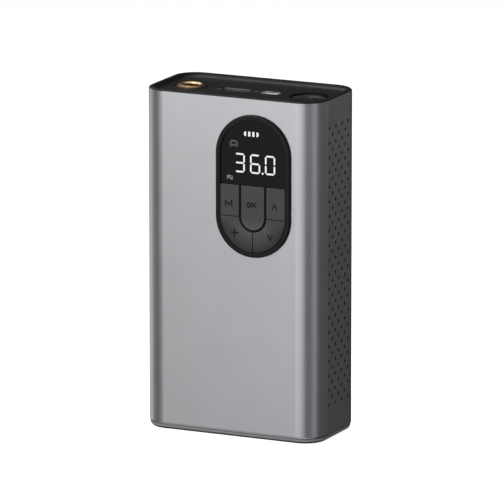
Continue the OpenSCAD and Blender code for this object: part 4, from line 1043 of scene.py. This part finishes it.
# The key edges are painted paler, partly rubbed and partly a painted highlight.
shade(
    tree, Base_Color=between(tree, rubbed_and_highlit(tree, 0.0003, 600.0, 0.45), tone, key_worn_and_highlit),
    Roughness=maths(tree, "MULTIPLY_ADD", texture["Tone"], 0.05, handled(tree, 0.5, 90.0, 0.05)),
    Specular_IOR_Level=0.3,
    Normal=bumped(tree, texture["Height"], 0.004),
)
dress(key_grey, "mode_button", "plus_button", "ok_button", "up_button", "down_button")

mark_ink, tree = new_material("key_mark_ink")
texture = grained(tree, 5200.0)
shade(
    tree, Base_Color=between(tree, texture["Height"], (0.003, 0.003, 0.0032, 1), (0.007, 0.007, 0.0074, 1)),
    Roughness=maths(tree, "MULTIPLY_ADD", texture["Tone"], 0.06, 0.5),
    Specular_IOR_Level=0.2,
)

pen = 0.64
m_x, m_y, m_w, m_h = -12.8, 4.15, 3.0, 2.55
inlay(
    "mark_mode",
    pen_line([
        (m_x, m_y), (m_x, m_y + m_h), (m_x + m_w / 2, m_y + 0.7), (m_x + m_w, m_y + m_h), (m_x + m_w, m_y),
    ], pen),
    key_face, mark_ink, "mode_key",
)
o_x, o_y, o_w, o_h = -1.7, 5.65, 1.9, 2.65
k_x, k_y, k_w = -0.1, 4.35, 1.8
ok_outlines = pen_line([
    (o_x + (o_w - pen) / 2 * math.cos(a), o_y + (o_h - pen) / 2 * math.sin(a))
    for a in (math.pi * i / 12 for i in range(24))
], pen, closed=True)
ok_outlines += pen_line([(k_x, k_y), (k_x, k_y + o_h)], pen)
ok_outlines.append([
    (k_x + pen / 2, k_y + o_h * 0.34), (k_x + k_w * 0.42, k_y + o_h * 0.52), (k_x + k_w + 0.42, k_y + o_h),
    (k_x + k_w - 0.22, k_y + o_h), (k_x + pen / 2, k_y + o_h * 0.54),
])
ok_outlines.append([
    (k_x + k_w * 0.42, k_y + o_h * 0.52), (k_x + k_w * 0.30, k_y + o_h * 0.46), (k_x + k_w - 0.22, k_y),
    (k_x + k_w + 0.46, k_y), (k_x + k_w * 0.66, k_y + o_h * 0.64),
])
inlay("mark_ok", ok_outlines, key_face, mark_ink, "ok_key")
arrow_w, arrow_h = 2.3, 2.3
for name, body, middle, foot, way in (
    ("mark_up", "up_key", 10.4, 4.45, 1), ("mark_down", "down_key", 8.35, -6.6, -1),
):
    inlay(
        name,
        pen_line([
            (middle - arrow_w / 2, foot), (middle, foot + way * arrow_h), (middle + arrow_w / 2, foot),
        ], pen),
        key_face, mark_ink, body,
    )
plus_x, plus_y, plus_half, half = -8.55, -7.15, 1.85, pen / 2
plus_outlines = [
    [(plus_x + u, plus_y + v) for u, v in ((left, low), (right, low), (right, top), (left, top))]
    for left, low, right, top in (
        (-half, -plus_half, half, plus_half), (-plus_half, -half, -half, half),
        (half, -half, plus_half, half),
    )
]
inlay("mark_plus", plus_outlines, key_face, mark_ink, "plus_key")

# ---- Switches and control board ----
# A green glass-fibre board behind the bezel, held by four screws. It carries the light cells
# and one tact switch under each key.

# Copper tracks and pads seen through solder mask
copper_tracks, given, result = new_group("copper_tracks", {"Tracks per metre": 420.0}, ["Track", "Pad"])
squeezed = vector_maths(copper_tracks, "MULTIPLY", spot(copper_tracks), (1.0, 0.35, 1.0))["Vector"]
for kind, start, end, label in (
    ({"distance": "CHEBYCHEV", "feature": "DISTANCE_TO_EDGE"}, 0.10, 0.06, "Track"),
    ({"feature": "F1"}, 0.14, 0.11, "Pad"),
):
    cells = node(copper_tracks, "TexVoronoi", Vector=squeezed, Scale=given["Tracks per metre"], **kind)
    join(copper_tracks, ramp(copper_tracks, cells.outputs["Distance"], start, end), result[label])

board_green, tree = new_material("green_circuit_board")
copper = with_effect(tree, copper_tracks)
under = between(tree, copper["Track"], (0.010, 0.065, 0.030, 1), (0.020, 0.120, 0.050, 1))
shade(
    tree, Base_Color=between(tree, copper["Pad"], under, (0.55, 0.54, 0.50, 1)),
    Metallic=times(tree, copper["Pad"], 0.9),
    Roughness=handled(tree, 0.34, 90.0, 0.04),
    Normal=bumped(tree, maths(tree, "ADD", copper["Track"], copper["Pad"]), 0.03),
)
dress(board_green, "control_board", "main_board")
switch_black = moulded("tact_switch", (0.030, 0.030, 0.032), 0.45, grain=2400.0, depth=0.003, edge=0.8)
dress(switch_black, "key_switches")

# ---- Main board ----
# The board behind the sockets, with the coil, the capacitors and the controller on its front
# and the pressure sensor on its rear.

package_grey = moulded("epoxy_package", (0.050, 0.050, 0.053), 0.50, grain=3000.0, depth=0.004, edge=0.5)
dress(package_grey, "board_parts", "pressure_sensor")

board_low, board_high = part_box("main_board")
chip_l, chip_w, chip_t = 1.6 * MM, 0.8 * MM, 0.45 * MM
cap_end = 0.3 * MM
chip_rows, chip_columns = 3, 8
first_x, first_z = board_low.x + 3.2 * MM, board_low.z + 1.4 * MM
column_run, row_run = 2.4 * MM, 1.7 * MM
solder = 0.02 * MM
tin = worked("soldered_tin", (0.66, 0.66, 0.66), 0.28, grain=2600.0, depth=0.003, tarnish=0.85)


def block(shape, low, high):
    """A plain block with its corners given."""
    (x0, y0, z0), (x1, y1, z1) = low, high
    skin(shape, [[(x0, y, z0), (x1, y, z0), (x1, y, z1), (x0, y, z1)] for y in (y0, y1)])


chips, chip_ends = bmesh.new(), bmesh.new()
face = board_high.y
for row in range(chip_rows):
    for column in range(chip_columns):
        left_bare = (row * 5 + column * 3) % 4 == 0
        if left_bare:
            continue
        x, z = first_x + column * column_run, first_z + row * row_run
        block(chips, (x + cap_end, face - solder, z), (x + chip_l - cap_end, face + chip_t, z + chip_w))
        for x0 in (x, x + chip_l - cap_end):
            block(
                chip_ends, (x0, face - solder, z - solder),
                (x0 + cap_end, face + chip_t + solder, z + chip_w + solder),
            )
new_piece("main_board_chips", chips, package_grey)
new_piece("main_board_joints", chip_ends, tin)

# ---- Motor ----
# A brushed motor lying in the foot of the body: a drawn steel can with two curved magnets, a
# laminated armature wound with enamelled wire, and a plastic end with the two lugs.

motor_low, motor_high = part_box("motor_can")
motor_axis_at = (0.0, (motor_low.y + motor_high.y) / 2, (motor_low.z + motor_high.z) / 2)
lengthwise = (1.0, 0.0, 0.0)
can_steel = worked(
    "drawn_steel_can", (0.48, 0.48, 0.49), 0.33, grain=1400.0, depth=0.002,
    turned=(motor_axis_at, lengthwise, 0.18 * MM),
)
dress(can_steel, "motor_can")
dress(moulded("motor_end_plastic", (0.035, 0.035, 0.037), 0.5, grain=1800.0), "motor_end_cap")
ferrite = moulded("ferrite_magnet", (0.060, 0.058, 0.057), 0.7, grain=2400.0, depth=0.015, edge=0.6)
dress(ferrite, "motor_magnets")

sheets_per_metre = 2000.0


def ridges(tree, along, per_metre):
    """Round ridges side by side, 1 on their crests and 0 in the grooves."""
    wave = maths(tree, "SINE", times(tree, along, per_metre * math.pi))
    return maths(tree, "ABSOLUTE", wave)


laminated, tree = new_material("laminated_steel")
texture = grained(tree, 3000.0)
sheet_gap = maths(tree, "POWER", ridges(tree, spot_xyz(tree)["X"], sheets_per_metre), 0.25)
shade(
    tree, Base_Color=between(tree, sheet_gap, (0.10, 0.10, 0.105, 1), (0.36, 0.36, 0.37, 1)),
    Metallic=1.0,
    Roughness=maths(tree, "MULTIPLY_ADD", texture["Tone"], 0.1, 0.4),
    Normal=bumped(tree, sheet_gap, 0.02),
)
dress(laminated, "motor_armature")

wires_across = 1700.0
enamelled, tree = new_material("enamelled_wire")
texture = grained(tree, 900.0)
at = spot_xyz(tree)
wire_round = ridges(tree, maths(tree, "MULTIPLY_ADD", at["X"], 0.35, at["Y"]), wires_across)
# The wire is painted darker in the grooves between turns: painted shade.
shade(
    tree, Base_Color=between(tree, wire_round, (0.16, 0.035, 0.010, 1), (0.62, 0.22, 0.075, 1)),
    Metallic=0.9,
    Roughness=maths(tree, "MULTIPLY_ADD", texture["Tone"], 0.08, 0.28),
    Normal=bumped(tree, wire_round, 0.12),
)
dress(enamelled, "motor_windings")

ground_steel = worked(
    "ground_steel", (0.60, 0.60, 0.61), 0.18, grain=2600.0, depth=0.001,
    turned=(motor_axis_at, lengthwise, 0.09 * MM),
)
dress(ground_steel, "motor_shaft")
dress(rubber, "motor_pads", "pump_pads", "air_hose", "piston_seal")

# ---- Gears ----
# A small pinion on the motor's shaft turns the larger gear, whose pin is the crank. The larger
# gear's shaft runs in a bearing in the frame of the pump.

gear_steel = worked(
    "sintered_steel", (0.42, 0.41, 0.40), 0.36, grain=4200.0, depth=0.006, tarnish=0.7, edge=0.7,
)
dress(gear_steel, "drive_pinion", "crank_gear")
dress(ground_steel, "crank_bearing")

# ---- Pump ----
# A single piston pump in die-cast aluminium: the frame with its shelf, a finned cylinder, and a
# head over a thin valve plate. The rod turns the crank's motion into the piston's stroke.

cast_alloy = worked(
    "die_cast_alloy", (0.52, 0.52, 0.53), 0.44, grain=1300.0, depth=0.014, tarnish=0.82, edge=0.6,
)
dress(cast_alloy, "pump_frame", "pump_cylinder", "cylinder_head", "piston_rod")
valve_steel = worked("valve_steel", (0.62, 0.62, 0.63), 0.2, grain=1800.0, depth=0.001)
dress(valve_steel, "valve_plate", "hose_clips")

# ---- Battery ----
# Two cells side by side in a plastic holder on rails of the chassis, joined by welded nickel
# strips. Blue film covers the cells up to a white ring at the top.

ring_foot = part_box("battery_cell_left")[1].z - 1.2 * MM
cell_film, tree = new_material("shrink_film")
texture = grained(tree, 260.0)
top_ring = ramp(tree, spot_xyz(tree)["Z"], ring_foot, ring_foot + 0.1 * MM)
film = between(tree, texture["Tone"], (0.020, 0.110, 0.190, 1), (0.024, 0.125, 0.215, 1))
shade(
    tree, Base_Color=between(tree, top_ring, film, (0.60, 0.60, 0.58, 1)),
    Roughness=handled(tree, 0.26, 70.0, 0.04),
    Normal=bumped(tree, texture["Height"], 0.05, 0.4),
)
dress(cell_film, "battery_cell_left", "battery_cell_right")
dress(moulded("holder_plastic", (0.055, 0.055, 0.058), 0.5, grain=1500.0), "battery_holder")
nickel = worked("nickel_strip", (0.62, 0.60, 0.55), 0.25, grain=1300.0, depth=0.002, tarnish=0.9)
dress(nickel, "cell_tabs")

# ---- Chassis and leads ----
# A grey glass-filled moulding screwed to both caps. It carries the motor, the pump, the battery
# holder and the main board. Silicone-covered leads join them.

dress(moulded("chassis_nylon", (0.050, 0.050, 0.054), 0.55, grain=1400.0, depth=0.01), "chassis")
red_lead = moulded("red_lead", (0.42, 0.020, 0.014), 0.42, grain=1800.0, depth=0.002, edge=0.0)
dress(red_lead, "battery_leads")
black_lead = moulded("black_lead", (0.020, 0.020, 0.022), 0.45, grain=1800.0, depth=0.002, edge=0.0)
dress(black_lead, "motor_leads")
